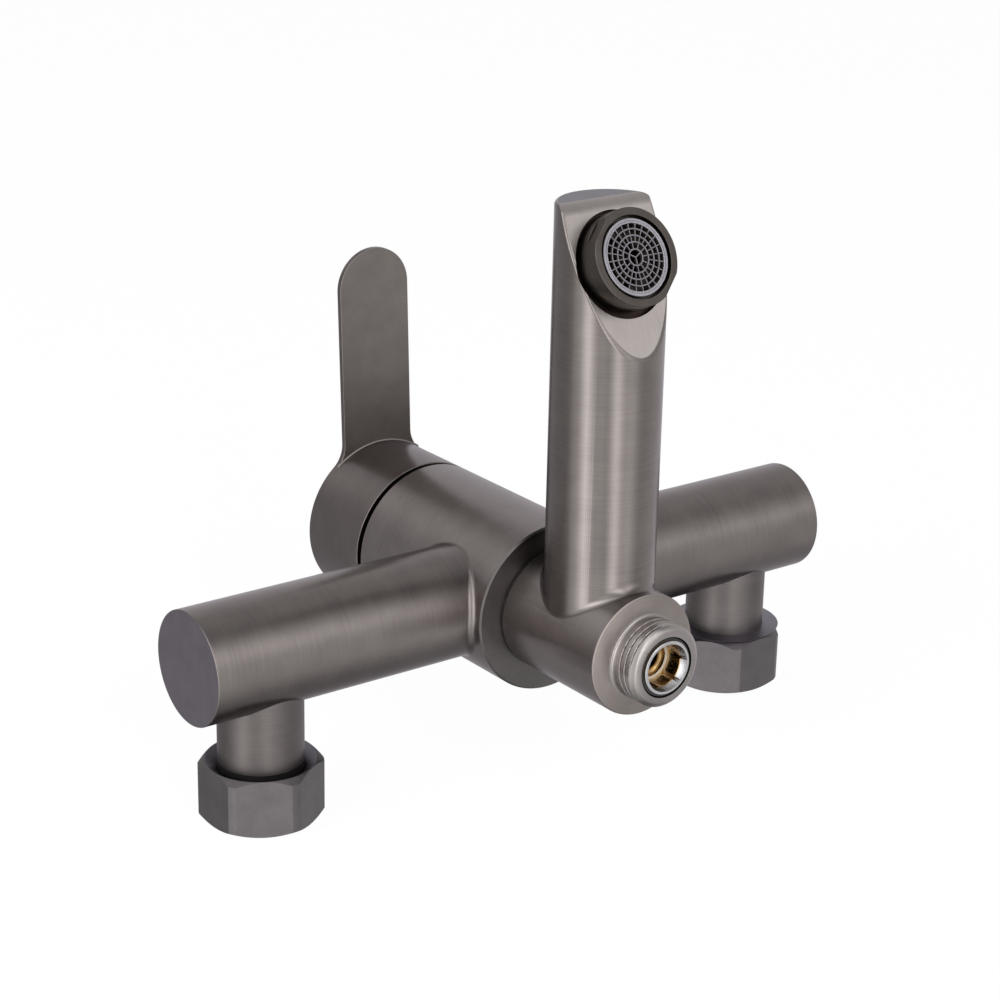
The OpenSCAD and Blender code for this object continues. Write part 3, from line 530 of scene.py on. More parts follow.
# Turned brass: pale yellow with clear glints
brass_metal = plain("brass_turned_bare", ("#a58a62", "#b2976e"), 1.0, 0.26)
# Black rubber, dull and soft to the eye
rubber = plain("nitrile_rubber_moulded", ("#161515", "#1e1d1d"), 0.0, 0.55)
# Lapped ceramic: off-white with a smooth gloss
ceramic = plain("alumina_lapped", ("#e4e2dc", "#eae8e2"), 0.0, 0.25, ior=1.7)
# Machined steel, a plain silvery sheen
satin_steel = plain("steel_satin_machined", ("#8c8886", "#969290"), 1.0, 0.32)

NODE_COATS = {
    "hot_inlet_nipple": brass_metal, "cold_inlet_nipple": brass_metal, "hot_washer": rubber,
    "cold_washer": rubber, "cartridge_base": white_plastic, "port_seals": rubber,
    "cartridge_housing": white_plastic, "fixed_disc": ceramic, "moving_disc": ceramic,
    "disc_carrier": insert_plastic, "rotor": dark_plastic, "pivot_pin": satin_steel,
    "lever_stem": brass_metal, "retaining_nut": satin_steel, "cover_ring": rubber,
    "clamping_screw": satin_steel, "screw_plug": cap_metal, "slip_ring": rubber,
    "diverter_disc": white_plastic, "mouth_seal": rubber, "shank_seal": rubber,
    "aerator_seal": rubber,
}


# The pieces

def screw(obj, foot, along, low, high, radius, depth, pitch, half_width):
    """Cuts a helical groove into the finely ringed side of a lathe piece, inwards where depth is
    positive and outwards where it is negative, and fades it out at both ends."""
    fade_out = pitch * 0.25
    for vertex in obj.data.vertices:
        p = vertex.co - Vector(foot)
        height, a, b = (p.z, p.x, p.y) if along == "Z" else (p.y, p.x, p.z)
        here = hypot(a, b)
        if not (low < height < high) or abs(here - radius) > 0.02:
            continue
        phase = (height / pitch - atan2(b, a) / (2 * pi)) % 1
        cut = min(max(1.25 * (1 - abs(phase - 0.5) * pitch / half_width), 0), 1)
        cut *= min((height - low) / fade_out, (high - height) / fade_out, 1)
        scale = (radius - depth * cut) / here
        a, b = a * scale, b * scale
        vertex.co = Vector(foot) + Vector((a, b, height) if along == "Z" else (a, height, b))
    return obj


def arc_round(centre, start, end, radius, steps=8):
    """Points at a radius round a centre, from one direction to another."""
    span = acos(max(-1, min(1, start.dot(end))))
    return [centre + (start * sin((1 - k / steps) * span) + end * sin(k / steps * span))
            / sin(span) * radius for k in range(steps + 1)]


def ring_of_rows(name, rows):
    """A closed band whose cross-sections, all with as many points, follow each other round a loop."""
    count = len(rows[0])
    faces = []
    for i in range(len(rows)):
        nxt = (i + 1) % len(rows)
        for k in range(count):
            faces.append((i * count + k, i * count + (k + 1) % count,
                          nxt * count + (k + 1) % count, nxt * count + k))
    return shell(name, [point for row in rows for point in row], faces)


# How far a rounding reaches past the faces that it joins, so that it crosses them cleanly
BITE = 0.012


def corner_ring(name, small, big, radius):
    """The rounded root where a round arm along +X leaves an upright round body: the path of a
    ball that rolls in the corner, closed behind inside the metal."""
    rows = []
    for i in range(SIDES):
        turn = 2 * pi * i / SIDES
        y = (small + radius) * cos(turn)
        x = sqrt((big + radius) ** 2 - y * y)
        centre = Vector((x, y, (small + radius) * sin(turn)))
        to_arm = Vector((0, -cos(turn), -sin(turn)))
        to_body = Vector((-x, -y, 0)).normalized()
        rows.append(arc_round(centre, to_arm, to_body, radius + BITE, 10)
                    + [centre + (to_arm + to_body) * radius * 1.15])
    return ring_of_rows(name, rows)


def make_body():
    """Barrel, both arms and both inlet stubs in one casting, with rounded roots at the arms."""
    low, top = body_low.z, body_high.z
    at = (0, AXIS_Y)
    body = turned("body_casting", [
        (0, low), (BODY_R - BODY_EDGE, low), (BODY_R, low + BODY_EDGE),
        (BODY_R, top - BODY_EDGE / 2), (BODY_R - BODY_EDGE / 2, top), (0, top)], at=at)
    coat(body, barrel_metal)
    coat(body, face_metal, lambda f: abs(f.normal.z) > 0.5)
    arms = rod("arms", ARM_R, -ARM_END, ARM_END, along="X", at=(AXIS_Y, 0))
    round_edges(arms, 0.25, sharp)
    coat(arms, arm_metal)
    coat(arms, arm_end_metal, lambda f: abs(f.normal.x) > 0.9)
    side_view = [(0, STUB_FOOT), (STUB_R, STUB_FOOT), (STUB_R, -NUT_H), (STUB_R, AXIS_Y), (0, AXIS_Y)]
    stubs = [turned("stub", side_view, along="Y", at=(side * INLET_X, 0)) for side in (-1, 1)]
    for stub in stubs:
        coat(stub, stub_metal)
        # Painted shade: each stub is nearly black below the nut's top face, where it goes into the nut's
        # mouth
        coat(stub, deep_shade, lambda f: f.center.y > -NUT_H)
    roots = []
    for side in (0, pi):
        root = corner_ring("root", ARM_R, BODY_R, ARM_FILLET_R)
        root.rotation_euler = (0, 0, side)
        root.location = (0, AXIS_Y, 0)
        roots.append(coat(settle(root), arm_metal))
    combine(body, [arms] + stubs + roots, "UNION")
    waterways = [rod("bore", 17.6, 10.5, 30.5, at=at), rod("bore", 19.5, 30, top + 1, at=at),
                 rod("bore", 6.15, low - 1, -8.4, at=at)]
    for side in (-1, 1):
        waterways.append(rod("bore", 6.5, side * 5, side * (ARM_END - 4), along="X", at=(AXIS_Y, 0)))
        inlet = (side * INLET_X, 0)
        waterways.append(rod("bore", 6.3, STUB_FOOT + 1, AXIS_Y, along="Y", at=inlet))
        waterways.append(rod("bore", 8.3, STUB_FOOT + 1, STUB_FOOT - 9.5, along="Y", at=inlet))
    combine(body, [coat(tool, cast_bore) for tool in waterways], "DIFFERENCE")
    return finished(body, "root", "gunmetal", "body")


def facet_frame():
    """Matrix from the facet's own axes, with +Z out of the facet at the aerator, to the spout."""
    turn = Matrix.Rotation(pi - FACET_ANGLE, 4, "X")
    start = Matrix.Translation((0, FACET_Y, FACET_Z))
    return start @ turn @ Matrix.Translation((0, AERATOR_ALONG, 0))


def on_facet(obj):
    """Moves a piece modelled round the origin onto the facet."""
    obj.matrix_world = facet_frame()
    return settle(obj)


FACET_OUT = Vector((0, -sin(FACET_ANGLE), -cos(FACET_ANGLE)))


def facet_edge():
    """Cutter that rounds the edge between facet and tube, more and more towards the tip."""
    rows = []
    for i in range(SIDES):
        turn = 2 * pi * i / SIDES
        side = Vector((cos(turn), 0, sin(turn)))
        near_tip = max(0, -2 * side.z - 1)
        radius = FACET_EDGE_R + (FACET_TIP_R - FACET_EDGE_R) * near_tip ** 1.5
        inner = TUBE_R - radius
        z = TUBE_Z + inner * side.z
        y = FACET_Y + (radius - cos(FACET_ANGLE) * (z - FACET_Z)) / sin(FACET_ANGLE)
        centre = Vector((inner * side.x, y, z))
        outer = (FACET_OUT + side).normalized()
        reach = radius / outer.dot(side) + 0.5
        rows.append(arc_round(centre, FACET_OUT, side, radius + BITE, 8) + [centre + outer * reach])
    return ring_of_rows("facet_edge", rows)


def end_rim():
    """Cutter that rounds the rim of the spout's end face."""
    arc = [(TUBE_R - END_RIM_R + (END_RIM_R + BITE) * sin(k * pi / 16),
            TUBE_END + END_RIM_R - (END_RIM_R + BITE) * cos(k * pi / 16)) for k in range(9)]
    return turned("end_rim", arc + [(TUBE_R + 1, TUBE_END + END_RIM_R), (TUBE_R + 1, TUBE_END - 1),
                                    (TUBE_R - END_RIM_R, TUBE_END - 1)], along="Y", at=(0, TUBE_Z))


def brow():
    """Cutter that rounds the straight edge between facet and end face."""
    y = TUBE_END + BROW_R
    z = FACET_Z + (BROW_R + sin(FACET_ANGLE) * (FACET_Y - y)) / cos(FACET_ANGLE)
    centre = Vector((0, y, z))
    end_out = Vector((0, -1, 0))
    outer = (FACET_OUT + end_out).normalized()
    side = arc_round(centre, FACET_OUT, end_out, BROW_R + BITE, 16)
    side.append(centre + outer * (BROW_R / outer.dot(end_out) + 1))
    count = len(side)
    half = Vector((TUBE_R + 2, 0, 0))
    points = [p - half for p in side] + [p + half for p in side]
    faces = [(k, (k + 1) % count, (k + 1) % count + count, k + count) for k in range(count)]
    return shell("brow", points, faces + [tuple(range(count)), tuple(range(count, 2 * count))])


def make_spout():
    """Swivel sleeve, spout tube with its angled facet, and the threaded shower outlet."""
    at = (0, AXIS_Y)
    tube = rod("tube", TUBE_R, TUBE_END, AXIS_Y, along="Y", at=(0, TUBE_Z))
    coat(tube, spout_metal)
    coat(tube, flat_metal, lambda f: f.normal.y < -0.9)
    pick(tube, "FACE", lambda f: True)
    bpy.ops.mesh.bisect(plane_co=(0, FACET_Y, FACET_Z), plane_no=FACET_OUT, use_fill=True,
                        clear_outer=True)
    bpy.ops.object.mode_set(mode="OBJECT")
    coat(tube, facet_metal, lambda f: f.normal.dot(FACET_OUT) > 0.99)
    combine(tube, [coat(facet_edge(), spout_metal), coat(end_rim(), spout_metal),
                   coat(brow(), facet_metal)], "DIFFERENCE")

    sleeve = turned("spout_casting", [
        (0, SLEEVE_TOP), (SLEEVE_R - 0.25, SLEEVE_TOP), (SLEEVE_R, SLEEVE_TOP - 0.25),
        (SLEEVE_R, SLEEVE_END + 0.5), (SLEEVE_R - 0.1, SLEEVE_END + 0.2), (SLEEVE_R - 0.35, SLEEVE_END),
        (11.1, SLEEVE_END - 0.6), (0, SLEEVE_END - 0.6)], at=at)
    coat(sleeve, sleeve_metal)
    coat(sleeve, shoulder_metal, lambda f: f.normal.z < -0.5)
    root = corner_ring("root", TUBE_R, SLEEVE_R, FILLET_R)
    root.rotation_euler = (0, 0, -pi / 2)
    root.location = (0, AXIS_Y, TUBE_Z)
    coat(settle(root), spout_metal)
    combine(sleeve, [tube, root], "UNION")

    recess = on_facet(turned("recess", [
        (NOZZLE_R, -RECESS), (RECESS_R, -RECESS), (RECESS_R, 6), (NOZZLE_R, 6)],
        at=(0, -RECESS_SHIFT)))
    nozzle = on_facet(rod("nozzle", NOZZLE_R, -RECESS - 0.01, 2.5))
    # Painted shade: the walls of the recess behind the aerator are dark brown
    combine(sleeve, [coat(recess, recess_shade)], "DIFFERENCE")
    combine(sleeve, [coat(nozzle, cast_bore), make_outlet()], "UNION")
    # Room of the black ring, wider at its mouth
    ring_bore = turned("bore", [
        (0, -64), (7.75, -64), (7.75, -60.6), (7.4, -60.3), (7.4, -50), (0, -50)], at=at)
    bores = [rod("bore", 13.1, -21.3, SLEEVE_TOP + 1, at=at), rod("bore", 7.4, -46, -21, at=at),
             turned("bore", [(8.6, -46), (12.2, -46), (12.2, -21.2), (8.6, -21.2)], at=at),
             rod("bore", 6.2, -50.5, -20, at=at),
             ring_bore,
             rod("bore", 10.6, AXIS_Y - 8.6, AXIS_Y - 70.35, along="Y", at=(0, TUBE_Z)),
             rod("bore", 6.0, AXIS_Y - 69, AXIS_Y - 97.66, along="Y", at=(0, TUBE_Z + 5.5)),
             on_facet(rod("bore", 9.3, -8, 3.5))]
    for tool in bores:
        coat(tool, cast_bore)
    # Painted shade: the wall round the black ring is nearly black
    coat(ring_bore, deep_shade)
    combine(sleeve, bores, "DIFFERENCE")
    return finished(sleeve, "swivel_spout", "gunmetal", "spout")


def make_outlet():
    """Bare steel end of the shower outlet: bright rounded root, relief, helical thread, chamfer."""
    low, high = -61.9, -56.8
    rings = 80
    side = [(OUTLET_R, high + (low - high) * i / rings) for i in range(rings + 1)]
    ledge, hollow = ROOT_RING_R - 0.2, 0.7
    outline = [(0, SLEEVE_END), (ROOT_RING_R, SLEEVE_END), (ROOT_RING_R, SLEEVE_END - 0.72),
               (ledge, SLEEVE_END - 0.78)]
    outline += [(ledge - hollow * sin(k * pi / 8), SLEEVE_END - 0.78 - hollow * (1 - cos(k * pi / 8)))
                for k in range(1, 5)]
    outline += [(10.15, high + 0.35), (OUTLET_R - 0.05, high + 0.1)]
    outline += side + [(10.3, -62.1), (9.9, -62.5), (9.5, -62.8), (9.0, -63.0), (0, -63.0)]
    outlet = turned("outlet", outline, at=(0, AXIS_Y))
    screw(outlet, (0, AXIS_Y, 0), "Z", low, high, OUTLET_R, PIPE_DEPTH, PIPE_PITCH, PIPE_GROOVE)
    coat(outlet, bright_steel)
    # Painted light: the thread's sides get a lighter copy of the same steel
    return coat(outlet, thread_steel, lambda f: abs(f.normal.z) < 0.5 and f.center.z > low)


def make_spindle():
    """Hollow brass screw of the outlet: a bright bevelled rim, six key notches and a stepped bore."""
    at = (0, AXIS_Y)
    spindle = turned("spindle_screw", [
        (0, -9.4), (5.9, -9.4), (6.1, -9.6), (6.1, -50.1), (6.8, -50.1), (6.8, -63.25), (6.65, -63.4),
        (6.05, -63.4), (5.45, -61.7), (5.3, -61.5), (5.3, -57.0), (4.5, -57.0), (4.5, -55.8),
        (4.1, -55.4), (3.6, -55.4), (3.6, -30), (0, -30)], at=at)
    coat(spindle, brass_metal)
    coat(spindle, chrome_rim,
         lambda f: hypot(f.center.x, f.center.y - AXIS_Y) > 5.31 and f.center.z < -61.6)
    coat(spindle, ring_steel, lambda f: -57.1 < f.center.z < -56.95)
    key = hexagon("key", 9.8, -62.3, -57.5, at=at, turn=radians(19))
    ports = [rod("port", 1.8, -9, 9, along="X", at=(AXIS_Y, -34), sides=FEW_SIDES),
             rod("port", 1.8, AXIS_Y - 9, AXIS_Y + 9, along="Y", at=(0, -34), sides=FEW_SIDES)]
    combine(spindle, [coat(tool, brass_metal) for tool in [key] + ports], "DIFFERENCE")
    return finished(spindle, "root", "brass", "spindle")


def make_aerator_housing():
    """Turned ring with two wrench flats; its broken edges catch the light."""
    housing = turned("aerator_ring", [
        (10.95, HOUSING_BACK), (11.8, HOUSING_BACK), (11.8, HOUSING_FACE), (9.95, HOUSING_FACE),
        (9.95, HOUSING_LIP), (10.95, HOUSING_LIP)])
    flats = []
    for turn in (136, 316):
        flat = block("flat", (11.3, -20, HOUSING_FACE - 3.4), (20, 20, 20))
        flat.rotation_euler = (0, 0, radians(turn))
        flats.append(settle(flat))
    combine(housing, flats, "DIFFERENCE")
    radial = lambda v: hypot(v.co.x, v.co.y)
    round_edges(housing, 0.18, lambda e: sharp(e) and min(radial(v) for v in e.verts) > 11)
    round_edges(housing, 0.1, lambda e: sharp(e) and max(radial(v) for v in e.verts) < 10
                and min(v.co.z for v in e.verts) > HOUSING_FACE - 0.1)
    coat(housing, dark_satin)
    return finished(on_facet(housing), "swivel_spout", "dark_satin", "aerator_housing")


def spokes(count, inner, outer, top, start=0.0):
    """Thin bars that fan out from the middle of the grid."""
    bars = []
    for i in range(count):
        bar = block("spoke", (inner, -SPOKE_HALF, INSERT_TOP - GRID_T), (outer, SPOKE_HALF, top))
        bar.rotation_euler = (0, 0, radians(start) + 2 * pi * i / count)
        bars.append(settle(bar))
    return bars


def joined(parts):
    """Several separate closed shapes as one object."""
    activate(parts[0])
    for part in parts[1:]:
        part.select_set(True)
    bpy.ops.object.join()
    return bpy.context.object


def make_aerator_insert():
    """Plastic cup with a grooved front ring and a grid whose rings stand over its thin spokes."""
    top = INSERT_TOP
    rim = turned("insert_cup", [
        (8.05, top - 1.4), (8.05, top - 0.08), (8.13, top), (8.35, top), (8.45, top - 0.2),
        (8.6, top - 0.2), (8.7, top), (9.1, top), (9.2, top - 0.1), (9.2, HOUSING_LIP),
        (10.9, HOUSING_LIP), (10.9, INSERT_SEAT), (9.2, INSERT_SEAT), (9.2, INSERT_SEAT - 4),
        (6.0, INSERT_SEAT - 4), (6.0, INSERT_SEAT - 3), (8.05, INSERT_SEAT - 3)], sides=FEW_SIDES)
    rings = [turned("grid_ring", [
        (r - RING_HALF, top - GRID_T), (r - RING_HALF, top - 0.06), (r - RING_HALF + 0.06, top),
        (r + RING_HALF - 0.06, top), (r + RING_HALF, top - 0.06), (r + RING_HALF, top - GRID_T)],
        sides=FEW_SIDES) for r in GRID_RINGS]
    insert = coat(joined([rim] + rings), insert_plastic)
    hub, first = GRID_RINGS[:2]
    bars = spokes(24, first + 0.05, 8.1, top - 0.22) + spokes(12, hub, first - 0.05, top - 0.22)
    star = spokes(3, -SPOKE_HALF, hub, top - 0.1, start=30)
    combine(star[0], star[1:], "UNION")
    combine(insert, [coat(joined(bars), insert_plastic), coat(star[0], insert_plastic)], "UNION")
    # Painted shade: the grid's walls and its floor get a dark copy of the plastic
    coat(insert, insert_shade, lambda f: abs(f.normal.z) < 0.3 and hypot(f.center.x, f.center.y) < 8.1)
    coat(insert, insert_shade, lambda f: f.center.z < top - GRID_T + 0.01)
    # Painted light: the top of the rim gets a lighter copy of the same plastic
    coat(insert, rim_plastic, lambda f: hypot(f.center.x, f.center.y) > 8.04 and f.center.z > top - 0.3)
    return finished(on_facet(insert), "swivel_spout", "grey_plastic", "aerator_insert")


def lever_outline():
    """Top outline of the blade, anticlockwise from the left flare's foot round its tip to the right
    flare's foot; and the angle of the two feet below the cap's X direction."""
    reach = BODY_R + FLARE_R
    flare_x = BLADE_HALF + FLARE_R
    flare_y = sqrt(reach ** 2 - flare_x ** 2)
    foot = atan2(flare_y, flare_x)
    tip_y = -(BLADE_REACH - BLADE_HALF)
    flare_steps, tip_steps = 16, 48
    blade = []
    for i in range(flare_steps + 1):
        a = foot * (1 - i / flare_steps)
        blade.append((-flare_x + FLARE_R * cos(a), -flare_y + FLARE_R * sin(a)))
    for i in range(tip_steps + 1):
        a = pi + pi * i / tip_steps
        blade.append((BLADE_HALF * cos(a), tip_y + BLADE_HALF * sin(a)))
    for i in range(flare_steps + 1):
        a = foot * i / flare_steps
        blade.append((flare_x - FLARE_R * cos(a), -flare_y + FLARE_R * sin(a)))
    return blade, foot


def make_lever():
    """Round cap and flat blade in one piece, with a hollow skirt and the socket of the stem."""
    blade, foot = lever_outline()
    front_steps, back_steps = 56, 136
    front = []
    for i in range(1, front_steps):
        a = -foot + (-(pi - foot) + foot) * i / front_steps
        front.append((BODY_R * cos(a), BODY_R * sin(a)))
    back = []
    for i in range(1, back_steps):
        a = -foot + (pi + 2 * foot) * i / back_steps
        back.append((BODY_R * cos(a), BODY_R * sin(a)))
    nb, nf, nk = len(blade), len(front), len(back)
    flat = blade + back
    points = [(x, y, CAP_TOP) for x, y in flat]
    points += [(x, y, CAP_TOP - BLADE_T) for x, y in flat + front]
    points += [(x, y, CAP_FOOT) for x, y in [blade[0]] + front[::-1] + [blade[-1]] + back]
    n = nb + nk
    under = n
    front_at = under + n
    skirt = front_at + nf
    top_face = list(range(n))
    side_faces = [(i, (i + 1) % n, under + (i + 1) % n, under + i) for i in range(n)]
    blade_under = [under + i for i in range(nb)] + [front_at + i for i in range(nf)]
    ring = ([under] + [front_at + i for i in range(nf)][::-1] + [under + nb - 1]
            + [under + nb + i for i in range(nk)])
    m = len(ring)
    skirt_faces = [(ring[i], ring[(i + 1) % m], skirt + (i + 1) % m, skirt + i) for i in range(m)]
    foot_face = [skirt + i for i in range(m)]
    lever = shell("lever", points, [top_face] + side_faces + [blade_under] + skirt_faces + [foot_face])
    coat(lever, cap_metal)
    radial = lambda p: hypot(p.x, p.y)
    coat(lever, blade_metal, lambda f: abs(f.normal.z) > 0.5 and f.center.z > CAP_FOOT + 1)
    outer = lambda e: sharp(e) and min(v.co.z for v in e.verts) > CAP_TOP - BLADE_T - 0.01 and (
        max(radial(v.co) for v in e.verts) > BODY_R + 0.01 or max(v.co.z for v in e.verts) > CAP_TOP - 0.01)
    round_edges(lever, 0.16, outer)
    round_edges(lever, 0.25, lambda e: sharp(e) and max(v.co.z for v in e.verts) < CAP_FOOT + 0.01)
    blade_root = lambda e: sharp(e) and all(
        abs(v.co.z - CAP_TOP + BLADE_T) < 0.01 and abs(radial(v.co) - BODY_R) < 0.05 and v.co.y < 0
        and abs(v.co.x) < BODY_R * cos(foot) - 0.4 for v in e.verts)
    round_edges(lever, 0.5, blade_root, steps=5)
    lever.rotation_euler = (0, 0, LEVER_TURN)
    lever.location = (0, AXIS_Y, 0)
    settle(lever)
    at = (0, AXIS_Y)
    cavity = rod("cavity", 20.2, CAP_FOOT - 1, 57.4, at=at)
    combine(lever, [coat(cavity, cast_bore)], "DIFFERENCE")
    boss = rod("boss", 7.5, 45.5, 57.5, at=at)
    combine(lever, [coat(boss, cast_bore)], "UNION")
    socket = block("socket", (-4.08, -4.08, 44), (4.08, 4.08, 56.08))
    hole = rod("hole", 3.0, 0, BODY_R + 5, along="Y", at=(0, 52), sides=FEW_SIDES)
    relief = block("relief", (-50, -50, -50), (50, 50, 36.55 - 32.3))
    relief.rotation_euler = (radians(25), 0, 0)
    relief.location = (0, 0, 32.3)
    settle(relief)
    for tool in (socket, hole, relief):
        tool.rotation_euler = (0, 0, LEVER_TURN)
        tool.location = (0, AXIS_Y, 0)
        coat(settle(tool), cast_bore)
    combine(lever, [socket, hole, relief], "DIFFERENCE")
    return finished(lever, "lever", "gunmetal", "lever_handle")


def make_nut(name, side, corner, body):
    """Hexagon union nut with turned corners, a threaded bore, an inward lip and a countersunk mouth;
    corner is the angle of one of its corners above the +X direction. Known fault: on the cold nut
    the last cut leaves the cutter's end standing over a closed mouth."""
    at = (side * INLET_X, 0)
    nut = hexagon(name, NUT_FLATS, 0, -NUT_H, along="Y", at=at, turn=radians(30) - corner)
    face_r = NUT_CORNER_R - NUT_CHAMFER / tan(pi / 6)
    blank = turned("blank", [
        (0, 0), (face_r, 0), (NUT_CORNER_R, -NUT_CHAMFER), (NUT_CORNER_R, -NUT_H + NUT_TOP_CHAMFER),
        (NUT_FLATS / 2 - 0.05, -NUT_H), (0, -NUT_H)], along="Y", at=at)
    combine(coat(nut, nut_metal), [coat(blank, nut_metal)], "INTERSECT")
    rings = 80
    thread = [(NUT_BORE_R, -NUT_THREAD * i / rings) for i in range(1, rings + 1)]
    # The mouth's slope goes on to 1 mm past the nut
    slope = (MOUTH_R - NUT_LIP_R) / MOUTH_DEPTH
    bore = turned("bore", [(0, 1), (12.9, 1), (NUT_BORE_R, 0.05)] + thread + [
        (NUT_GROOVE_R, -NUT_THREAD), (NUT_GROOVE_R, NUT_LIP_Y), (NUT_LIP_R, NUT_LIP_Y),
        (NUT_LIP_R, -NUT_H + MOUTH_DEPTH), (MOUTH_R + slope, -NUT_H - 1), (0, -NUT_H - 1)],
        along="Y", at=at, sides=FEW_SIDES)
    screw(bore, (at[0], 0, at[1]), "Y", -NUT_THREAD + 0.3, -0.2, NUT_BORE_R, -0.9, PIPE_PITCH, 0.5)
    coat(bore, cast_bore)
    # Painted shade: the lip inside the nut, round the stub, is nearly black
    coat(bore, deep_shade, lambda f: -13.0 < f.center.y < -11.9)
    # Painted light: the mouth's countersunk wall gets a lighter copy of the nut's metal
    coat(bore, mouth_metal, lambda f: f.center.y < -13.01)
    combine(nut, [bore], "DIFFERENCE")
    return finished(nut, body, "gunmetal", name.replace("_dressed", ""))


for node, material in NODE_COATS.items():
    coat(frame["nodes"][node], material)
make_body()
make_spout()
make_spindle()
make_aerator_housing()
make_aerator_insert()
make_lever()
make_nut("hot_union_nut_dressed", -1, radians(31.6), "hot_nut")
make_nut("cold_union_nut_dressed", 1, radians(4), "cold_nut")


# Studio

# Soft boxes and dark flags round the object, as its gloss sees them against a grey surround.
# Azimuth turns from +X towards +Z and elevation from the floor; both, and the half widths, are
# in degrees. A negative strength is a dark flag.
SURROUND = 0.48
# Logarithm of 2
LN_2 = 0.693
SOFT_BOXES = (
    ("left_strip", 192, 12, 11, 40, 4.2),
    ("left_edge", 165, 12, 8, 40, 0.9),
    ("left_fill", 223, 12, 8, 40, 1.0),
    ("front_strip", 254, 12, 9, 40, 3.3),
    ("front_fill", 284, 12, 12, 40, 1.3),
    ("front_high", 280, 38, 22, 12, 1.1),
    ("facet_box", 307, 20, 12, 8, 0.55),
    ("back_high", 120, 38, 22, 12, 0.5),
    ("right_wide", 5, 12, 50, 40, 0.45),
    ("right_edge", 60, 12, 12, 40, 0.3),
    ("low_front", 240, -35, 40, 18, 0.45),
    ("low_right", 0, -35, 60, 18, 0.25),
    ("flag_overhead", 315, 66, 45, 14, -0.25),
    ("flag_below", 0, -80, 180, 14, -0.35),
)


def box_glow(tree, x, up, z, level, azimuth, elevation, half_width, half_height, strength):
    """How strongly one soft box shows in a direction: half as strong at its half width or height."""
    turn = radians(azimuth)
    part_x = add(tree, "ShaderNodeMath", {0: x, 1: cos(turn)}, operation="MULTIPLY")
    part_z = add(tree, "ShaderNodeMath", {0: z, 1: sin(turn), 2: part_x.outputs[0]},
                 operation="MULTIPLY_ADD")
    facing = add(tree, "ShaderNodeMath", {0: part_z.outputs[0], 1: level}, operation="DIVIDE")
    narrow = LN_2 / (1 - cos(radians(half_width)))
    across = add(tree, "ShaderNodeMath", {0: facing.outputs[0], 1: narrow, 2: -narrow},
                 operation="MULTIPLY_ADD")
    tall = 1 / sin(radians(half_height))
    rise = add(tree, "ShaderNodeMath", {0: up, 1: tall, 2: -tall * sin(radians(elevation))},
               operation="MULTIPLY_ADD")
    rise = add(tree, "ShaderNodeMath", {0: rise.outputs[0], 1: rise.outputs[0]}, operation="MULTIPLY")
    both = add(tree, "ShaderNodeMath", {0: rise.outputs[0], 1: -LN_2, 2: across.outputs[0]},
               operation="MULTIPLY_ADD")
    glow = add(tree, "ShaderNodeMath", {0: both.outputs[0]}, operation="EXPONENT")
    return add(tree, "ShaderNodeMath", {0: glow.outputs[0], 1: strength}, operation="MULTIPLY")


def make_world():
    """White to the camera. Gloss sees a grey surround with soft boxes and flags in it, and the
    world also gives a soft fill."""
    world = bpy.data.worlds.new("studio")
    bpy.context.scene.world = world
    world.use_nodes = True
    tree = world.node_tree
    tree.nodes.clear()
    place = add(tree, "ShaderNodeTexCoord")
    parts = add(tree, "ShaderNodeSeparateXYZ", {0: place.outputs["Generated"]})
    x, z = parts.outputs["X"], parts.outputs["Z"]
    up = add(tree, "ShaderNodeMath", {0: parts.outputs["Y"], 1: -1.0}, operation="MULTIPLY").outputs[0]
    flat = add(tree, "ShaderNodeVectorMath", {0: place.outputs["Generated"], 1: (1, 0, 1)},
               operation="MULTIPLY")
    level = add(tree, "ShaderNodeVectorMath", {0: flat.outputs[0]}, operation="LENGTH").outputs["Value"]
    total = None
    for name, *shape in SOFT_BOXES:
        glow = box_glow(tree, x, up, z, level, *shape)
        glow.label = name
        total = add(tree, "ShaderNodeMath", {0: glow.outputs[0], 1: total or SURROUND},
                    operation="ADD").outputs[0]
    surround = add(tree, "ShaderNodeMath", {0: total, 1: 0.03}, operation="MAXIMUM")
    rays = add(tree, "ShaderNodeLightPath")
    fill = add(tree, "ShaderNodeBackground", {"Color": (1, 1, 1, 1), "Strength": 0.55})
    white = add(tree, "ShaderNodeBackground", {"Color": (1, 1, 1, 1), "Strength": 1.0})
    gloss = add(tree, "ShaderNodeBackground", {"Color": (1, 1, 1, 1), "Strength": surround.outputs[0]})
    clear = add(tree, "ShaderNodeMath",
                {0: rays.outputs["Is Camera Ray"], 1: rays.outputs["Is Transmission Ray"]},
                operation="MAXIMUM")
    seen = add(tree, "ShaderNodeMixShader", {0: clear.outputs[0], 1: fill.outputs[0], 2: white.outputs[0]})
    sky = add(tree, "ShaderNodeMixShader",
              {0: rays.outputs["Is Glossy Ray"], 1: seen.outputs[0], 2: gloss.outputs[0]})
    add(tree, "ShaderNodeOutputWorld", {"Surface": sky.outputs[0]})


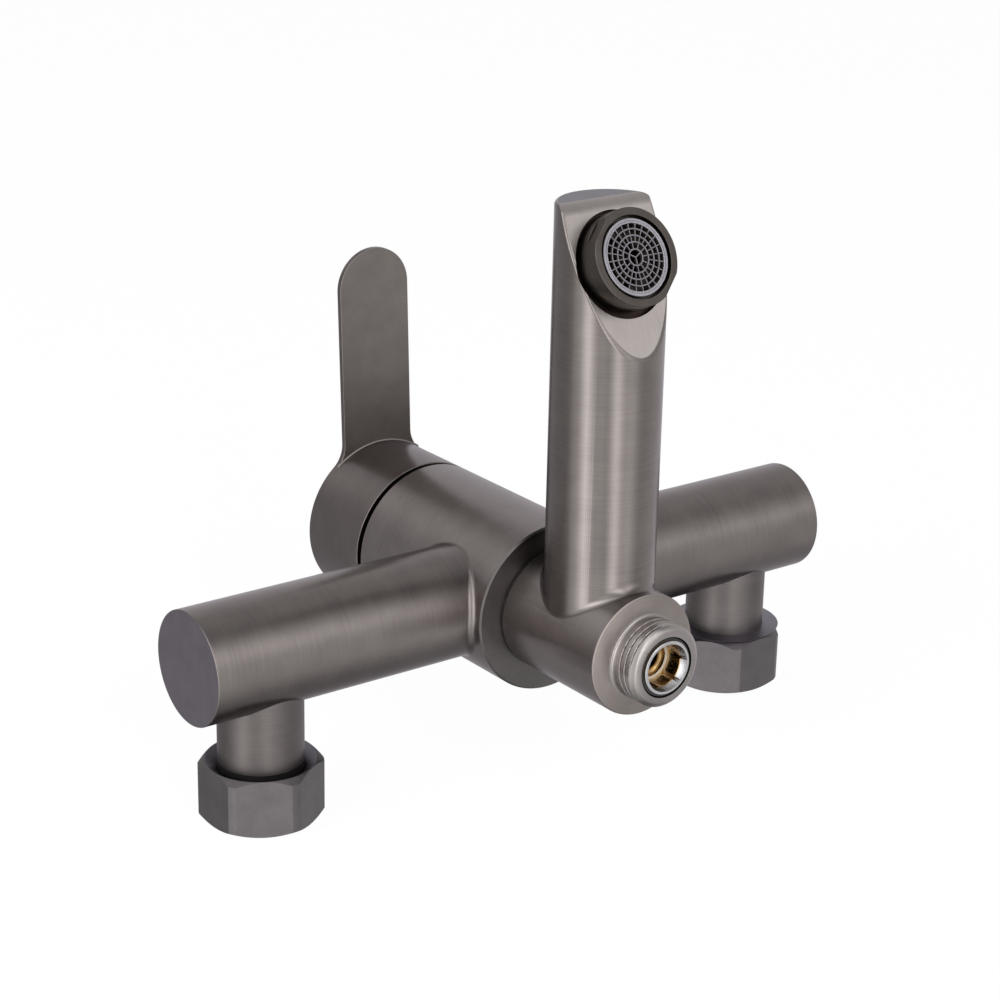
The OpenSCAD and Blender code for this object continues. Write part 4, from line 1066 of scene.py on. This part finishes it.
def make_floor():
    """Plain pale panel in the plane of the wall faces, seen from its front only. It is white to the
    camera but for a faint soft shadow, and gloss sees the world in its place."""
    fresh()
    bpy.ops.mesh.primitive_plane_add(size=6, location=(0, 0.0002, 0), rotation=(pi / 2, 0, 0))
    panel = settle(bpy.context.object)
    panel.name = "floor"
    material = bpy.data.materials.new("floor_pale")
    material.use_nodes = True
    tree = material.node_tree
    tree.nodes.clear()
    rays = add(tree, "ShaderNodeLightPath")
    shadowed = add(tree, "ShaderNodeBsdfDiffuse", {"Color": linear("#f6f6f6")})
    white = add(tree, "ShaderNodeEmission", {"Color": (1, 1, 1, 1), "Strength": 1.0})
    seen = add(tree, "ShaderNodeMixShader", {0: 0.96, 1: shadowed.outputs[0], 2: white.outputs[0]})
    camera = add(tree, "ShaderNodeMixShader",
                 {0: rays.outputs["Is Camera Ray"], 1: shadowed.outputs[0], 2: seen.outputs[0]})
    side = add(tree, "ShaderNodeNewGeometry")
    through = add(tree, "ShaderNodeMath",
                  {0: side.outputs["Backfacing"], 1: rays.outputs["Is Glossy Ray"]}, operation="MAXIMUM")
    clear = add(tree, "ShaderNodeBsdfTransparent")
    one_sided = add(tree, "ShaderNodeMixShader",
                    {0: through.outputs[0], 1: camera.outputs[0], 2: clear.outputs[0]})
    add(tree, "ShaderNodeOutputMaterial", {"Surface": one_sided.outputs[0]})
    coat(panel, material)


def make_lamp(name, place, size, strength, aim=(0, AXIS_Y * MM, 0)):
    """A soft lamp of a width and height in metres that shines on a point."""
    lamp = bpy.data.lights.new(name, "AREA")
    lamp.shape = "RECTANGLE"
    lamp.size, lamp.size_y = size
    lamp.energy = strength
    holder = bpy.data.objects.new(name, lamp)
    bpy.context.scene.collection.objects.link(holder)
    holder.location = place
    holder.rotation_euler = (Vector(aim) - Vector(place)).to_track_quat("-Z", "Y").to_euler()
    holder.visible_glossy = False
    return holder


# Camera of the photograph: place and aim in metres, picture-up along -Y, then a slight roll
CAMERA_PLACE = Vector((-0.36679, -0.29021, -0.48349))
CAMERA_AIM = Vector((-0.01708, -0.07600, -0.01808))
CAMERA_ROLL = radians(-1.203)
CAMERA_LENS = 91.51


def make_camera():
    """The camera of the photograph, as solved from the outlines of arms, body and spout."""
    camera = bpy.data.cameras.new("camera")
    camera.lens = CAMERA_LENS
    camera.sensor_width = 36
    camera.clip_start = 0.01
    holder = bpy.data.objects.new("camera", camera)
    bpy.context.scene.collection.objects.link(holder)
    forward = (CAMERA_AIM - CAMERA_PLACE).normalized()
    right = forward.cross(Vector((0, -1, 0))).normalized()
    up = right.cross(forward)
    turn = Matrix((right, up, -forward)).transposed()
    turn = Matrix.Rotation(CAMERA_ROLL, 3, forward) @ turn
    holder.matrix_world = Matrix.Translation(CAMERA_PLACE) @ turn.to_4x4()
    bpy.context.scene.camera = holder


make_floor()
make_world()
make_lamp("key_left", (-1.2, -0.5, -0.2), (0.5, 0.9), 18)
make_lamp("key_front", (-0.2, -0.7, -1.2), (0.7, 0.4), 14)
make_camera()
bpy.context.scene.view_settings.view_transform = "Standard"
